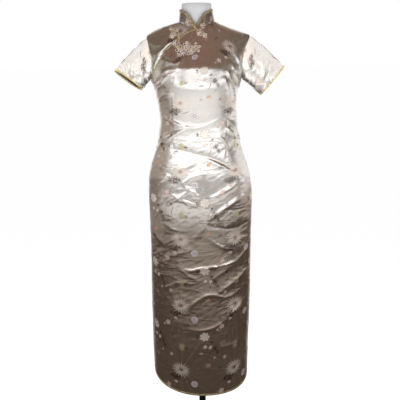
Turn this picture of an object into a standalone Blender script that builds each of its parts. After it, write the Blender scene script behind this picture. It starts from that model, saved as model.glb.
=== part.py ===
"""Cheongsam dress worn by a limbless dress form on a round stand.

Metres, +Z up. The origin is under the middle of the stand's base. The front faces -Y, and
left and right are the wearer's, so the wearer's right side is -X. Each piece of cloth is a
thin wall: an outer grid of points on the body's surface and an inner grid one wall deeper.
"""

import math

import bmesh
import bpy
from mathutils import Vector
from mathutils.bvhtree import BVHTree

# Cloth
WALL = 0.0015           # brocade with its interlining
SEAM = 0.00036          # between pieces sewn edge to edge
LAP = 0.0005            # under a piece sewn on top of another
BINDING_WIDTH = 0.0065
BINDING_WALL = 0.0010
LEAST_SLANT = 0.4       # where the cloth's rows run close to the binding's own direction
MOST_OF_ROW = 0.9       # of the first row of cloth that a binding may cover

# Heights
HEM_Z = 0.183
SLIT_TOP_Z = 0.610
BUST_Z = 1.300
OPENING_FOOT_Z = 1.3305
UNDERARM_Z = 1.3350
SHOULDER_LEVELS = (1.4865, 1.498, 1.510, 1.522, 1.536)
NECK_FRONT_Z = 1.512
NECK_BACK_Z = 1.534

# The hem sweeps up from the centre to each slit, where its corner is rounded
HEM_SWEEPS = {
    # side: how high it rises, and how late (1 is a straight line)
    -1.0: (0.075, 1.6),
    1.0: (0.052, 2.1),
}
HEM_CORNER = 0.018
SLIT_SPREAD = math.radians(4.0)     # how far each edge stands back from the side at the hem
QUARTER_WIDTH = 0.235           # from a side seam to the centre, along the hem

# Upper body
NECK_END_RIGHT = -0.006         # where the wearer's right neckline ends, at centre front
NECK_END_LEFT = -0.002
NECK_CURVE = 1.3                # above 1 the neckline drops late, close to its end
ARMHOLE_REACH_FRONT = math.radians(31.0)
ARMHOLE_REACH_BACK = math.radians(28.0)

# Half widths to the wearer's right and left, depths to the front and back, and how square
# the outline is (2 is an ellipse).
BODY_SECTIONS = (
    # z,     right,  left,   front,  back,   square
    (0.170, 0.1755, 0.1685, 0.1120, 0.1120, 2.20),
    (0.330, 0.1795, 0.1715, 0.1120, 0.1130, 2.20),
    (0.470, 0.1805, 0.1780, 0.1120, 0.1150, 2.20),
    (0.610, 0.1815, 0.1830, 0.1110, 0.1170, 2.20),
    (0.780, 0.1820, 0.1880, 0.1100, 0.1210, 2.25),
    (0.920, 0.1848, 0.1920, 0.1090, 0.1250, 2.30),
    (0.990, 0.1825, 0.1865, 0.1070, 0.1220, 2.30),
    (1.050, 0.1690, 0.1700, 0.1040, 0.1110, 2.30),
    (1.110, 0.1500, 0.1520, 0.1010, 0.0970, 2.30),
    (1.180, 0.1388, 0.1422, 0.1010, 0.0880, 2.25),
    (1.240, 0.1455, 0.1390, 0.1140, 0.0910, 2.20),
    (1.300, 0.1575, 0.1470, 0.1270, 0.0980, 2.20),
    (1.335, 0.1680, 0.1570, 0.1240, 0.1020, 2.25),
    (1.390, 0.1820, 0.1800, 0.1120, 0.1060, 2.30),
    (1.450, 0.1880, 0.1915, 0.0910, 0.0980, 2.20),
    (1.4865, 0.1810, 0.1885, 0.0780, 0.0860, 1.95),
    (1.498, 0.1670, 0.1610, 0.0725, 0.0800, 1.80),
    (1.510, 0.1440, 0.1260, 0.0660, 0.0730, 1.68),
    (1.522, 0.1130, 0.0940, 0.0595, 0.0660, 1.62),
    (1.536, 0.0675, 0.0665, 0.0515, 0.0570, 1.70),
)

# The edge of the main front from the underarm on the right to the centre of the neck
OPENING_LINE = (
    # x,       z
    (-0.1624, 1.3400),
    (-0.1530, 1.3640),
    (-0.1413, 1.3905),
    (-0.1264, 1.4145),
    (-0.1079, 1.4420),
    (-0.0788, 1.4680),
    (-0.0426, 1.4965),
    (NECK_END_LEFT, NECK_FRONT_Z),
)

# Height of the collar's top edge by the share of the way from centre front to centre back
COLLAR_TOP = (
    # share, z
    (0.00, 1.5240),
    (0.10, 1.5510),
    (0.20, 1.5660),
    (0.30, 1.5730),
    (0.50, 1.5790),
    (1.00, 1.5860),
)
COLLAR_TOP_HALF_WIDTH = 0.0575
COLLAR_TOP_FRONT = 0.0570
COLLAR_TOP_BACK = 0.0525
COLLAR_MIDDLE_Z = 1.560

# Largest folds and the darts of the front: a line through three points, how far the cloth
# stands out (or in, below zero) along it, and the fold's half width.
FRONT_FOLDS = (
    # start,           middle,           end,              height,  half width
    ((-0.123, 1.203), (-0.012, 1.166), (0.104, 1.210), 0.0040, 0.020),
    ((-0.126, 1.105), (-0.072, 1.135), (-0.005, 1.152), 0.0035, 0.018),
    ((-0.098, 1.094), (-0.013, 1.075), (0.131, 1.019), -0.0035, 0.020),
    ((-0.061, 0.968), (-0.025, 0.993), (0.024, 1.006), 0.0030, 0.018),
    ((0.027, 0.910), (0.091, 0.941), (0.155, 0.976), 0.0040, 0.020),
    ((0.026, 0.834), (0.090, 0.880), (0.152, 0.922), 0.0035, 0.018),
    ((0.018, 0.819), (0.115, 0.803), (0.165, 0.824), -0.0030, 0.018),
    ((-0.088, 0.671), (0.009, 0.662), (0.160, 0.715), 0.0045, 0.022),
    ((-0.048, 0.514), (0.040, 0.565), (0.155, 0.590), 0.0045, 0.022),
    ((-0.053, 0.435), (0.013, 0.433), (0.150, 0.530), 0.0035, 0.022),
    ((-0.092, 1.290), (-0.092, 1.215), (-0.092, 1.150), -0.0020, 0.009),
    ((0.098, 1.290), (0.100, 1.180), (0.102, 1.040), -0.0020, 0.009),
)

# Sleeves: where each cuff's middle lies, half its width from top to bottom edge and the
# slope of that line, half its depth, and how far its front edge is drawn back.
SLEEVES = (
    # node,           side, cuff x,  cuff z, half width, slope, half depth, drawn back
    ("sleeve_right", -1.0, 0.2504, 1.3338, 0.0593, 0.745, 0.045, 0.009),
    ("sleeve_left", 1.0, 0.2689, 1.3242, 0.0662, 1.160, 0.045, 0.001),
)
SLEEVE_CAP = 0.006      # how far the sleeve head rounds out over the straight line
SLEEVE_MITRE = 2.0      # how far the inside is cut back where the sleeve turns off the body

# Grid of a panel: steps along the armhole, shoulder and neckline of one half, and upwards
ARMHOLE_STEPS = 8
SHOULDER_STEPS = len(SHOULDER_LEVELS) - 1
NECK_STEPS = 5
HALF_STEPS = ARMHOLE_STEPS + SHOULDER_STEPS + NECK_STEPS
FRONT_SKIRT_ROWS = 25
BACK_SKIRT_ROWS = 16
BODICE_ROWS = 8
FLAP_ROWS = 5
SLEEVE_ROWS = 6
COLLAR_ROWS = 3
BODICE_EASING = 1.5     # above 1 the rows draw together towards the shoulder
ARMHOLE_BEND = 0.9      # how much the grid's columns curve round the armhole
BEND_STEPS = (4.0, 8.0)     # over which that curve sets in from the side and from the centre
SIDE_STEPS = (2.0, 4.0)     # between which the bodice leaves the round outline of the side
FLAP_SIDE_STEPS = (1.0, 3.0)
FOLD_FREE_STEPS = 3.0   # beside a side seam, where folds die out

# Corded flower frogs: middle, half sizes, petals and turn in degrees
FROG_HEIGHT = 0.0024
FROG_NOTCH = 0.16       # depth of the notch between two petals, as a share of the radius
FROG_FALL = 0.4         # how much thinner it is at the rim
FROG_RAY_Y = -0.5       # well in front of the dress, where the rays that find the cloth start
FROG_RINGS = 3
FROG_STEPS = 30
FROGS = (
    # node,               seat,          x,      z,      half x, half z, petals, turn
    ("collar_frog_right", "collar", -0.0310, 1.5335, 0.0090, 0.0085, 5, 20.0),
    ("collar_frog_left", "front_panel", 0.0200, 1.4945, 0.0175, 0.0135, 5, 0.0),
    ("chest_frog_right", "under_flap", -0.0765, 1.5000, 0.0200, 0.0150, 5, 35.0),
    ("chest_frog_left", "front_panel", -0.0290, 1.4430, 0.0480, 0.0240, 7, 10.0),
)

# Dress form: how far it lies inside the dress at the sides and at the front and back
FORM_INSETS = (
    # z,      sides,  front and back
    (0.740, 0.0150, 0.0150),
    (0.900, 0.0080, 0.0110),
    (1.050, 0.0080, 0.0110),
    (1.300, 0.0080, 0.0090),
    (1.390, 0.0070, 0.0080),
    (1.450, 0.0050, 0.0070),
    (1.4865, 0.0015, 0.0070),
    (1.498, 0.0000, 0.0070),
    (1.522, 0.0000, 0.0080),
    (1.536, 0.0050, 0.0050),
)
FORM_POINTED = 0.40     # less square than the dress over the shoulders, so only the ridge bears
FORM_POINTED_Z = (1.42, 1.47)
FORM_DROP = 0.0024      # from the shoulder seams down to the ridge that bears them
FORM_LEVELS = (0.752, 0.80, 0.86, 0.92, 0.98, 1.04, 1.10, 1.16, 1.21, 1.26, 1.31, 1.36,
               1.40, 1.44, 1.467) + SHOULDER_LEVELS
FORM_BOTTOM_Z = 0.740
FORM_BOTTOM_SCALE = 0.93
NECK_RINGS = (
    # z,     half width, half depth
    (1.546, 0.0560, 0.0480),
    (1.558, 0.0535, 0.0470),
    (1.580, 0.0530, 0.0468),
    (1.596, 0.0530, 0.0468),
    (1.600, 0.0505, 0.0445),
)
FORM_STEPS = 32

# Stand
POLE_RADIUS = 0.0125
BASE_RADIUS = 0.160
BASE_HEIGHT = 0.010
BASE_CHAMFER = 0.003
COLLET_RADIUS = 0.028
COLLET_HEIGHT = 0.030
POLE_GAP = 0.0003       # at both ends of the pole
STAND_STEPS = 48

MERGE_DISTANCE = 0.00002
SOFT_SHARP_ANGLE = math.radians(50)     # edges sharper than this aren't shaded smooth
HARD_SHARP_ANGLE = math.radians(40)

BROCADE = ((0.62, 0.54, 0.46, 1.0), 0.32, 0.0)
SATIN = ((0.42, 0.31, 0.12, 1.0), 0.30, 0.0)
GOLD_CORD = ((0.75, 0.55, 0.20, 1.0), 0.35, 0.6)
FORM_CLOTH = ((0.86, 0.86, 0.85, 1.0), 0.55, 0.0)
BLACK_STEEL = ((0.02, 0.02, 0.02, 1.0), 0.40, 0.0)


def clear_scene():
    """Remove whatever the file opened with."""
    for item in list(bpy.data.objects):
        bpy.data.objects.remove(item, do_unlink=True)


def read_table(table, key):
    """The row of a table at this key, by a smooth curve through its rows."""
    last = len(table) - 1
    key = min(max(key, table[0][0]), table[last][0])
    low = max(i for i in range(last) if table[i][0] <= key)
    span = table[low + 1][0] - table[low][0]
    t = (key - table[low][0]) / span

    def slope(i, column):
        before, after = max(i - 1, 0), min(i + 1, last)
        return (table[after][column] - table[before][column]) / (table[after][0] - table[before][0])

    values = []
    for column in range(1, len(table[0])):
        a, b = table[low][column], table[low + 1][column]
        ma, mb = slope(low, column) * span, slope(low + 1, column) * span
        values.append((2 * t**3 - 3 * t**2 + 1) * a + (t**3 - 2 * t**2 + t) * ma
                      + (3 * t**2 - 2 * t**3) * b + (t**3 - t**2) * mb)
    return values


def mix(a, b, t):
    return a + (b - a) * t


def smoothstep(t):
    t = min(max(t, 0.0), 1.0)
    return t * t * (3.0 - 2.0 * t)


def fade(value, span):
    """0 before a span of values, 1 after it."""
    return smoothstep((value - span[0]) / (span[1] - span[0]))


def ring_point(angle, z, half_right, half_left, front, back, square):
    """A point of a rounded outline. The angle is 0 at centre front and grows to the left."""
    s, c = math.sin(angle), math.cos(angle)
    x = (half_left if s > 0 else -half_right) * abs(s) ** (2.0 / square)
    y = (-front if c > 0 else back) * abs(c) ** (2.0 / square)
    return Vector((x, y, z))


def body_by_angle(angle, z):
    return ring_point(angle, z, *read_table(BODY_SECTIONS, z))


def body_by_width(x, z, facing):
    """The body's surface at this x and z. Facing is -1 at the front and 1 at the back."""
    half_right, half_left, front, back, square = read_table(BODY_SECTIONS, z)
    share = min(abs(x) / (half_left if x > 0 else half_right), 1.0)
    depth = front if facing < 0 else back
    return Vector((x, facing * depth * (1.0 - share**square) ** (1.0 / square), z))


def body_normal(point, facing):
    """Outward direction of the body's surface at a point on it."""
    half_right, half_left, front, back, square = read_table(BODY_SECTIONS, point.z)
    share = min(abs(point.x) / (half_left if point.x > 0 else half_right), 1.0)
    side = 1.0 if point.x > 0 else -1.0
    from_front = math.asin(share ** (square / 2.0))
    angle = side * (from_front if facing < 0 else math.pi - from_front)
    turn, climb = 0.01, 0.0005
    along = body_by_angle(angle + turn, point.z) - body_by_angle(angle - turn, point.z)
    upward = body_by_angle(angle, point.z + climb) - body_by_angle(angle, point.z - climb)
    return along.cross(upward).normalized()


def body_half_width(side, z):
    half_right, half_left = read_table(BODY_SECTIONS, z)[:2]
    return half_left if side > 0 else half_right


def line_point(line, t):
    """A point of a smooth curve through the line's points, t from 0 to 1."""
    keyed = [(i / (len(line) - 1),) + tuple(line[i]) for i in range(len(line))]
    return read_table(keyed, t)


def armhole_angle(side, facing, t):
    """Angle and height on the armhole, t from the underarm (0) to the shoulder (1)."""
    top = SHOULDER_LEVELS[0]
    z = mix(UNDERARM_Z, top, 0.5 - 0.5 * math.cos(math.pi * t))
    reach = ARMHOLE_REACH_FRONT if facing < 0 else ARMHOLE_REACH_BACK
    from_side = reach * math.sin(math.pi * t)
    quarter = math.pi / 2
    return side * (quarter - from_side if facing < 0 else quarter + from_side), z


def shoulder_point(side, t):
    level = t * SHOULDER_STEPS
    low = min(int(level), SHOULDER_STEPS - 1)
    z = mix(SHOULDER_LEVELS[low], SHOULDER_LEVELS[low + 1], level - low)
    return Vector((side * body_half_width(side, z), 0.0, z))


def neck_point(side, facing, t):
    """Neckline from the shoulder (0) to the centre (1)."""
    turn = t * math.pi / 2
    if facing > 0:
        end, end_z, start = 0.0, NECK_BACK_Z, body_half_width(side, SHOULDER_LEVELS[-1])
    else:
        end = NECK_END_LEFT if side > 0 else NECK_END_RIGHT
        end_z, start = NECK_FRONT_Z, body_half_width(side, SHOULDER_LEVELS[-1])
    x = mix(end, side * start, math.cos(turn))
    z = mix(end_z, SHOULDER_LEVELS[-1], math.cos(turn) ** NECK_CURVE)
    return body_by_width(x, z, facing)


def bodice_top(side, facing, step):
    """Top edge of a half panel: armhole, shoulder seam, then neckline."""
    if step <= ARMHOLE_STEPS:
        return body_by_angle(*armhole_angle(side, facing, step / ARMHOLE_STEPS))
    step -= ARMHOLE_STEPS
    if step <= SHOULDER_STEPS:
        return shoulder_point(side, step / SHOULDER_STEPS)
    return neck_point(side, facing, (step - SHOULDER_STEPS) / NECK_STEPS)


def opening_point(step):
    """Edge of the main front on the wearer's right, from the side seam (0) to the neck."""
    t = step / HALF_STEPS
    side_x = -body_half_width(-1.0, OPENING_FOOT_Z)
    x, z = line_point(((side_x, OPENING_FOOT_Z),) + OPENING_LINE, t)
    return body_by_width(x, z, -1.0)


def corner_rise(distance, radius):
    """Height of a rounded corner's edge over the hem, this far in from the side edge."""
    if distance >= radius:
        return 0.0
    return radius - math.sqrt(radius**2 - (radius - distance) ** 2)


def skirt_point(side, facing, step, rise):
    """Panel below the bust line. Step counts from the side seam, rise from hem (0) to bust."""
    share = step / HALF_STEPS
    height, late = HEM_SWEEPS[side]
    sweep = height * (1.0 - share) ** late
    hem = HEM_Z + sweep + corner_rise(share * QUARTER_WIDTH, HEM_CORNER)
    z = mix(hem, BUST_Z, rise)
    open_share = min(max((SLIT_TOP_Z - z) / (SLIT_TOP_Z - HEM_Z), 0.0), 1.0)
    from_front = (math.pi / 2 - SLIT_SPREAD * open_share) * (1.0 - share)
    return body_by_angle(side * (from_front if facing < 0 else math.pi - from_front), z)


def bodice_point(side, facing, step, rise, top):
    """Panel between the bust line (0) and its top edge (1), drawn between the two ends."""
    from_front = (math.pi / 2) * (1.0 - step / HALF_STEPS)
    foot_angle = side * (from_front if facing < 0 else math.pi - from_front)
    foot = body_by_angle(foot_angle, BUST_Z)
    z = mix(BUST_Z, top.z, rise)
    sets_in = smoothstep(step / BEND_STEPS[0]) * smoothstep((HALF_STEPS - step) / BEND_STEPS[1])
    bend = 1.0 + ARMHOLE_BEND * sets_in
    straight = body_by_width(mix(foot.x, top.x, rise**bend), z, facing)
    near_side = 1.0 - fade(step, SIDE_STEPS)
    if near_side <= 0.0:
        return straight
    half_width = body_half_width(side, top.z)
    square = read_table(BODY_SECTIONS, top.z)[4]
    top_share = min(abs(top.x) / half_width, 1.0)
    top_front = math.asin(top_share ** (square / 2.0))
    turned = mix(from_front, top_front, rise)
    round_point = body_by_angle(side * (turned if facing < 0 else math.pi - turned), z)
    return straight.lerp(round_point, near_side)


def distance_to_line(x, z, points):
    best = math.inf
    for (ax, az), (bx, bz) in zip(points, points[1:]):
        ux, uz = bx - ax, bz - az
        t = min(max(((x - ax) * ux + (z - az) * uz) / (ux * ux + uz * uz), 0.0), 1.0)
        best = min(best, math.hypot(x - ax - ux * t, z - az - uz * t))
    return best


def fold_height(x, z):
    """How far the front's folds lift the cloth at this place."""
    height = 0.0
    for start, middle, end, lift, half_width in FRONT_FOLDS:
        away = distance_to_line(x, z, (start, middle, end)) / half_width
        height += lift * math.exp(-away * away)
    return height


def panel_grids(place, columns, rows, facing, lift=None):
    """Outer and inner grids of a panel whose points place(column, row) lie on the body."""
    shift = Vector((0.0, facing * SEAM / 2, 0.0))
    outer, inner = [], []
    for row in range(rows + 1):
        outer_row, inner_row = [], []
        for column in range(columns + 1):
            point = place(column, row)
            normal = body_normal(point, facing)
            raised = point + shift + normal * (lift(point, column) if lift else 0.0)
            outer_row.append(raised)
            inner_row.append(raised - normal * WALL)
        outer.append(outer_row)
        inner.append(inner_row)
    return outer, inner


def wall_object(name, outer, inner, material, closed=False):
    """One closed body between two grids. Closed joins the last column to the first."""
    rows, columns = len(outer), len(outer[0])
    mesh = bpy.data.meshes.new(name)
    shape = bmesh.new()
    layers = [[[shape.verts.new(p) for p in row] for row in grid] for grid in (outer, inner)]
    around = columns if closed else columns - 1
    for row in range(rows - 1):
        for column in range(around):
            following = (column + 1) % columns
            corners = ((row, column), (row, following), (row + 1, following), (row + 1, column))
            shape.faces.new([layers[0][r][c] for r, c in corners])
            shape.faces.new([layers[1][r][c] for r, c in reversed(corners)])
    for column in range(around):
        following = (column + 1) % columns
        for row in (0, rows - 1):
            shape.faces.new((layers[0][row][column], layers[0][row][following],
                             layers[1][row][following], layers[1][row][column]))
    if not closed:
        for row in range(rows - 1):
            for column in (0, columns - 1):
                shape.faces.new((layers[0][row][column], layers[0][row + 1][column],
                                 layers[1][row + 1][column], layers[1][row][column]))
    bmesh.ops.remove_doubles(shape, verts=shape.verts, dist=MERGE_DISTANCE)
    bmesh.ops.recalc_face_normals(shape, faces=shape.faces)
    shape.to_mesh(mesh)
    shape.free()
    mesh.shade_smooth()
    mesh.set_sharp_from_angle(angle=SOFT_SHARP_ANGLE)
    mesh.materials.append(material)
    item = bpy.data.objects.new(name, mesh)
    bpy.context.scene.collection.objects.link(item)
    return item


def make_material(name, look):
    colour, roughness, metallic = look
    material = bpy.data.materials.new(name)
    material.use_nodes = True
    shader = material.node_tree.nodes["Principled BSDF"]
    shader.inputs["Base Color"].default_value = colour
    shader.inputs["Roughness"].default_value = roughness
    shader.inputs["Metallic"].default_value = metallic
    return material


def make_front(material):
    """Main front: hem to neck, up to the slanted opening on the wearer's right."""
    rows = FRONT_SKIRT_ROWS + BODICE_ROWS

    def place(column, row):
        side = -1.0 if column < HALF_STEPS else 1.0
        step = column if side < 0 else 2 * HALF_STEPS - column
        if row <= FRONT_SKIRT_ROWS:
            return skirt_point(side, -1.0, step, row / FRONT_SKIRT_ROWS)
        top = opening_point(step) if side < 0 else bodice_top(side, -1.0, step)
        rise = 1.0 - (1.0 - (row - FRONT_SKIRT_ROWS) / BODICE_ROWS) ** BODICE_EASING
        return bodice_point(side, -1.0, step, rise, top)

    def lift(point, column):
        from_side = min(column, 2 * HALF_STEPS - column)
        return fold_height(point.x, point.z) * smoothstep(from_side / FOLD_FREE_STEPS)

    outer, inner = panel_grids(place, 2 * HALF_STEPS, rows, -1.0, lift)
    wall_object("front_panel", outer, inner, material)
    return outer, inner


def seam_start(outer_edge, inner_edge, towards, closed):
    """The first row of a piece sewn to an edge: that edge moved on by the seam's gap."""
    count = len(outer_edge)
    starts = ([], [])
    for i in range(count):
        before = (i - 1) % count if closed else max(i - 1, 0)
        after = (i + 1) % count if closed else min(i + 1, count - 1)
        along = outer_edge[after] - outer_edge[before]
        onward = along.cross(outer_edge[i] - inner_edge[i]).normalized()
        if onward.dot(towards[i] - outer_edge[i]) < 0.0:
            onward.negate()
        starts[0].append(outer_edge[i] + onward * SEAM)
        starts[1].append(inner_edge[i] + onward * SEAM)
    return starts


def make_flap(front, material):
    """Piece over the wearer's right chest, between the opening, armhole, shoulder and neck."""
    def place(column, row):
        low = opening_point(column)
        high = bodice_top(-1.0, -1.0, column)
        rise = row / FLAP_ROWS
        near_side = 1.0 - fade(column, FLAP_SIDE_STEPS)
        straight = body_by_width(mix(low.x, high.x, rise), mix(low.z, high.z, rise), -1.0)
        return straight.lerp(low.lerp(high, rise), near_side)

    outer, inner = panel_grids(place, HALF_STEPS, FLAP_ROWS, -1.0)
    opening = [layer[-1][:HALF_STEPS + 1] for layer in front]
    outer[0], inner[0] = seam_start(*opening, outer[-1], closed=False)
    wall_object("under_flap", outer, inner, material)
    return outer, inner


def make_back(material):
    """Back: one panel from hem to neck."""
    rows = BACK_SKIRT_ROWS + BODICE_ROWS

    def place(column, row):
        side = 1.0 if column < HALF_STEPS else -1.0
        step = column if side > 0 else 2 * HALF_STEPS - column
        if row <= BACK_SKIRT_ROWS:
            return skirt_point(side, 1.0, step, row / BACK_SKIRT_ROWS)
        rise = 1.0 - (1.0 - (row - BACK_SKIRT_ROWS) / BODICE_ROWS) ** BODICE_EASING
        return bodice_point(side, 1.0, step, rise, bodice_top(side, 1.0, step))

    outer, inner = panel_grids(place, 2 * HALF_STEPS, rows, 1.0)
    wall_object("back_panel", outer, inner, material)
    return outer, inner


def make_sleeve(row, armhole, material):
    """Short sleeve: a tube from the armhole to the slanted cuff."""
    name, side, cuff_x, cuff_z, half_width, slope, half_depth, drawn_back = row
    count = len(armhole[0])
    length = math.hypot(1.0, slope)
    across = Vector((side / length, 0.0, slope / length))       # cuff's low edge to its high one
    onward = Vector((side * slope / length, 0.0, -1.0 / length))    # out of the cuff
    middle = Vector((side * cuff_x, 0.0, cuff_z))
    hole = sum(armhole[0], Vector()) / count
    starts = seam_start(*armhole, [hole] * count, closed=True)
    for edge_point, start, start_inner in zip(armhole[0], *starts):
        away = (start - edge_point).normalized()
        inward = hole - start
        inward -= onward * inward.dot(onward)
        turned_back = (start + inward.normalized() * WALL - start_inner).dot(away)
        start_inner += away * (SLEEVE_MITRE * max(turned_back, 0.0))
    outer, inner = [starts[0]], [starts[1]]
    for rise in range(1, SLEEVE_ROWS + 1):
        share = rise / SLEEVE_ROWS
        axis = hole.lerp(middle, share)
        outer_row, inner_row = [], []
        for around in range(count):
            turn = 2.0 * math.pi * around / count
            back = -math.sin(turn)
            cuff = (middle - across * (half_width * math.cos(turn))
                    + Vector((0.0, half_depth * back, 0.0)) + onward * (drawn_back * back))
            head = 0.5 - 0.5 * math.cos(turn)
            cap = SLEEVE_CAP * math.sin(math.pi * share) * head
            point = starts[0][around].lerp(cuff, share) + across * cap
            inward = axis - point
            inward -= onward * inward.dot(onward)
            outer_row.append(point)
            inner_row.append(point + inward.normalized() * WALL)
        outer.append(outer_row)
        inner.append(inner_row)
    wall_object(name, outer, inner, material, closed=True)
    return outer, inner


def make_collar(neckline, material):
    """Mandarin collar with rounded fronts that meet in a V."""
    count = len(neckline[0]) - 1
    base = seam_start(*neckline, [Vector((0.0, 0.0, COLLAR_MIDDLE_Z))] * (count + 1), closed=False)
    outer, inner = [], []
    for row in range(COLLAR_ROWS + 1):
        rise = row / COLLAR_ROWS
        outer_row, inner_row = [], []
        for i in range(count + 1):
            share = 1.0 - abs(2.0 * i / count - 1.0)
            side = 1.0 if 2 * i < count else -1.0
            turn = share * math.pi
            gap = NECK_END_LEFT if side > 0 else NECK_END_RIGHT
            x = side * COLLAR_TOP_HALF_WIDTH * math.sin(turn) + gap * (0.5 + 0.5 * math.cos(turn))
            y = (-COLLAR_TOP_FRONT if share < 0.5 else COLLAR_TOP_BACK) * abs(math.cos(turn))
            top = Vector((x, y, read_table(COLLAR_TOP, share)[0]))
            outward = Vector((x, y, 0.0)).normalized()
            outer_row.append(base[0][i].lerp(top, rise))
            inner_row.append(base[1][i].lerp(top - outward * WALL, rise))
        outer.append(outer_row)
        inner.append(inner_row)
    wall_object("collar", outer, inner, material)
    return outer, inner


def make_binding(name, edge, material, closed=False):
    """Satin strip on the edge of a piece: its outer and inner points and the next ones in."""
    count = len(edge)
    tops, bottoms = ([], []), ([], [])
    for i, (outer, inner, next_outer, next_inner) in enumerate(edge):
        before = (i - 1) % count if closed else max(i - 1, 0)
        after = (i + 1) % count if closed else min(i + 1, count - 1)
        normal = (outer - inner).normalized()
        across = (edge[after][0] - edge[before][0]).cross(normal).normalized()
        run = next_outer - outer
        slant = max(abs(across.dot(run.normalized())), LEAST_SLANT)
        share = min(BINDING_WIDTH / slant / run.length, MOST_OF_ROW)
        far_normal = normal.lerp((next_outer - next_inner).normalized(), share).normalized()
        for line, point, up in ((0, outer, normal), (1, outer + run * share, far_normal)):
            bottoms[line].append(point + up * LAP)
            tops[line].append(point + up * (LAP + BINDING_WALL))
    wall_object(name, list(tops), list(bottoms), material, closed)


def tree_of(name):
    item = bpy.data.objects[name]
    return BVHTree.FromPolygons([v.co for v in item.data.vertices],
                                [p.vertices for p in item.data.polygons])


def make_frog(row, material):
    """Half of a corded flower fastening: a lobed pad that follows the cloth under it."""
    name, seat, x, z, half_x, half_z, petals, turn = row
    tree = tree_of(seat)
    tops, bottoms = [], []
    for ring in range(FROG_RINGS + 1):
        reach = ring / FROG_RINGS
        top_row, bottom_row = [], []
        for step in range(FROG_STEPS):
            angle = 2.0 * math.pi * step / FROG_STEPS
            petal = abs(math.cos(petals * (angle - math.radians(turn)) / 2.0))
            radius = reach * (1.0 - FROG_NOTCH * reach * (1.0 - petal))
            start = Vector((x + half_x * radius * math.cos(angle), FROG_RAY_Y,
                            z + half_z * radius * math.sin(angle)))
            hit, normal, *_ = tree.ray_cast(start, Vector((0.0, 1.0, 0.0)))
            if normal.y > 0.0:
                normal = -normal
            height = FROG_HEIGHT * (1.0 - FROG_FALL * reach**2)
            bottom_row.append(hit + normal * LAP)
            top_row.append(hit + normal * (LAP + height))
        tops.append(top_row)
        bottoms.append(bottom_row)
    wall_object(name, tops, bottoms, material, closed=True)


def ring_object(name, rings, material, sharp_angle):
    """A closed solid through rings of points from bottom to top, with flat ends."""
    mesh = bpy.data.meshes.new(name)
    shape = bmesh.new()
    levels = [[shape.verts.new(point) for point in ring] for ring in rings]
    count = len(levels[0])
    for low, high in zip(levels, levels[1:]):
        for i in range(count):
            following = (i + 1) % count
            shape.faces.new((low[i], low[following], high[following], high[i]))
    shape.faces.new(levels[0])
    shape.faces.new(levels[-1])
    bmesh.ops.recalc_face_normals(shape, faces=shape.faces)
    shape.to_mesh(mesh)
    shape.free()
    mesh.shade_smooth()
    mesh.set_sharp_from_angle(angle=sharp_angle)
    mesh.materials.append(material)
    item = bpy.data.objects.new(name, mesh)
    bpy.context.scene.collection.objects.link(item)


def make_form(material):
    """Torso with a short neck, a little inside the dress and bearing it at the shoulders."""
    rings = []
    for z in FORM_LEVELS:
        half_right, half_left, front, back, square = read_table(BODY_SECTIONS, z)
        sides, depth = read_table(FORM_INSETS, z)
        square -= FORM_POINTED * fade(z, FORM_POINTED_Z)
        size = (half_right - sides, half_left - sides, front - depth, back - depth, square)
        height = z - FORM_DROP if z in SHOULDER_LEVELS else z
        rings.append([ring_point(2.0 * math.pi * i / FORM_STEPS, height, *size)
                      for i in range(FORM_STEPS)])
    middle = Vector((0.0, 0.0, FORM_LEVELS[0]))
    drop = Vector((0.0, 0.0, FORM_LEVELS[0] - FORM_BOTTOM_Z))
    rings.insert(0, [middle.lerp(p, FORM_BOTTOM_SCALE) - drop for p in rings[0]])
    for z, half_width, half_depth in NECK_RINGS:
        rings.append([ring_point(2.0 * math.pi * i / FORM_STEPS, z, half_width, half_width,
                                 half_depth, half_depth, 2.0) for i in range(FORM_STEPS)])
    ring_object("form_torso", rings, material, SOFT_SHARP_ANGLE)


def make_stand(material):
    """Round base with a collet, and the pole that carries the form."""
    def circle(radius, z):
        turns = [2.0 * math.pi * i / STAND_STEPS for i in range(STAND_STEPS)]
        return [Vector((radius * math.sin(a), -radius * math.cos(a), z)) for a in turns]

    top = BASE_HEIGHT + COLLET_HEIGHT
    chamfer = BASE_CHAMFER
    base = [circle(BASE_RADIUS, 0.0), circle(BASE_RADIUS, BASE_HEIGHT - chamfer),
            circle(BASE_RADIUS - chamfer, BASE_HEIGHT), circle(COLLET_RADIUS, BASE_HEIGHT),
            circle(COLLET_RADIUS, top - chamfer), circle(COLLET_RADIUS - chamfer, top)]
    ring_object("form_base", base, material, HARD_SHARP_ANGLE)
    pole = [circle(POLE_RADIUS, top + POLE_GAP), circle(POLE_RADIUS, FORM_BOTTOM_Z - POLE_GAP)]
    ring_object("form_pole", pole, material, HARD_SHARP_ANGLE)


def border(grids, cells, inward_cells):
    """Outer and inner points of each cell on an edge and of its neighbour further in."""
    outer, inner = grids
    return [(outer[r][c], inner[r][c], outer[ir][ic], inner[ir][ic])
            for (r, c), (ir, ic) in zip(cells, inward_cells)]


def hem_border(grids, skirt_rows):
    """The run up one slit, round the hem and up the other slit."""
    outer = grids[0]
    last = len(outer[0]) - 1
    slit = [r for r in range(1, skirt_rows) if outer[r][0].z < SLIT_TOP_Z]
    down = [(r, 0) for r in reversed(slit)]
    along = [(0, c) for c in range(last + 1)]
    up = [(r, last) for r in slit]
    cells = down + along + up
    inward = [(r, 1) for r, _ in down] + [(1, min(max(c, 1), last - 1)) for _, c in along]
    inward += [(r, last - 1) for r, _ in up]
    return border(grids, cells, inward)


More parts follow.
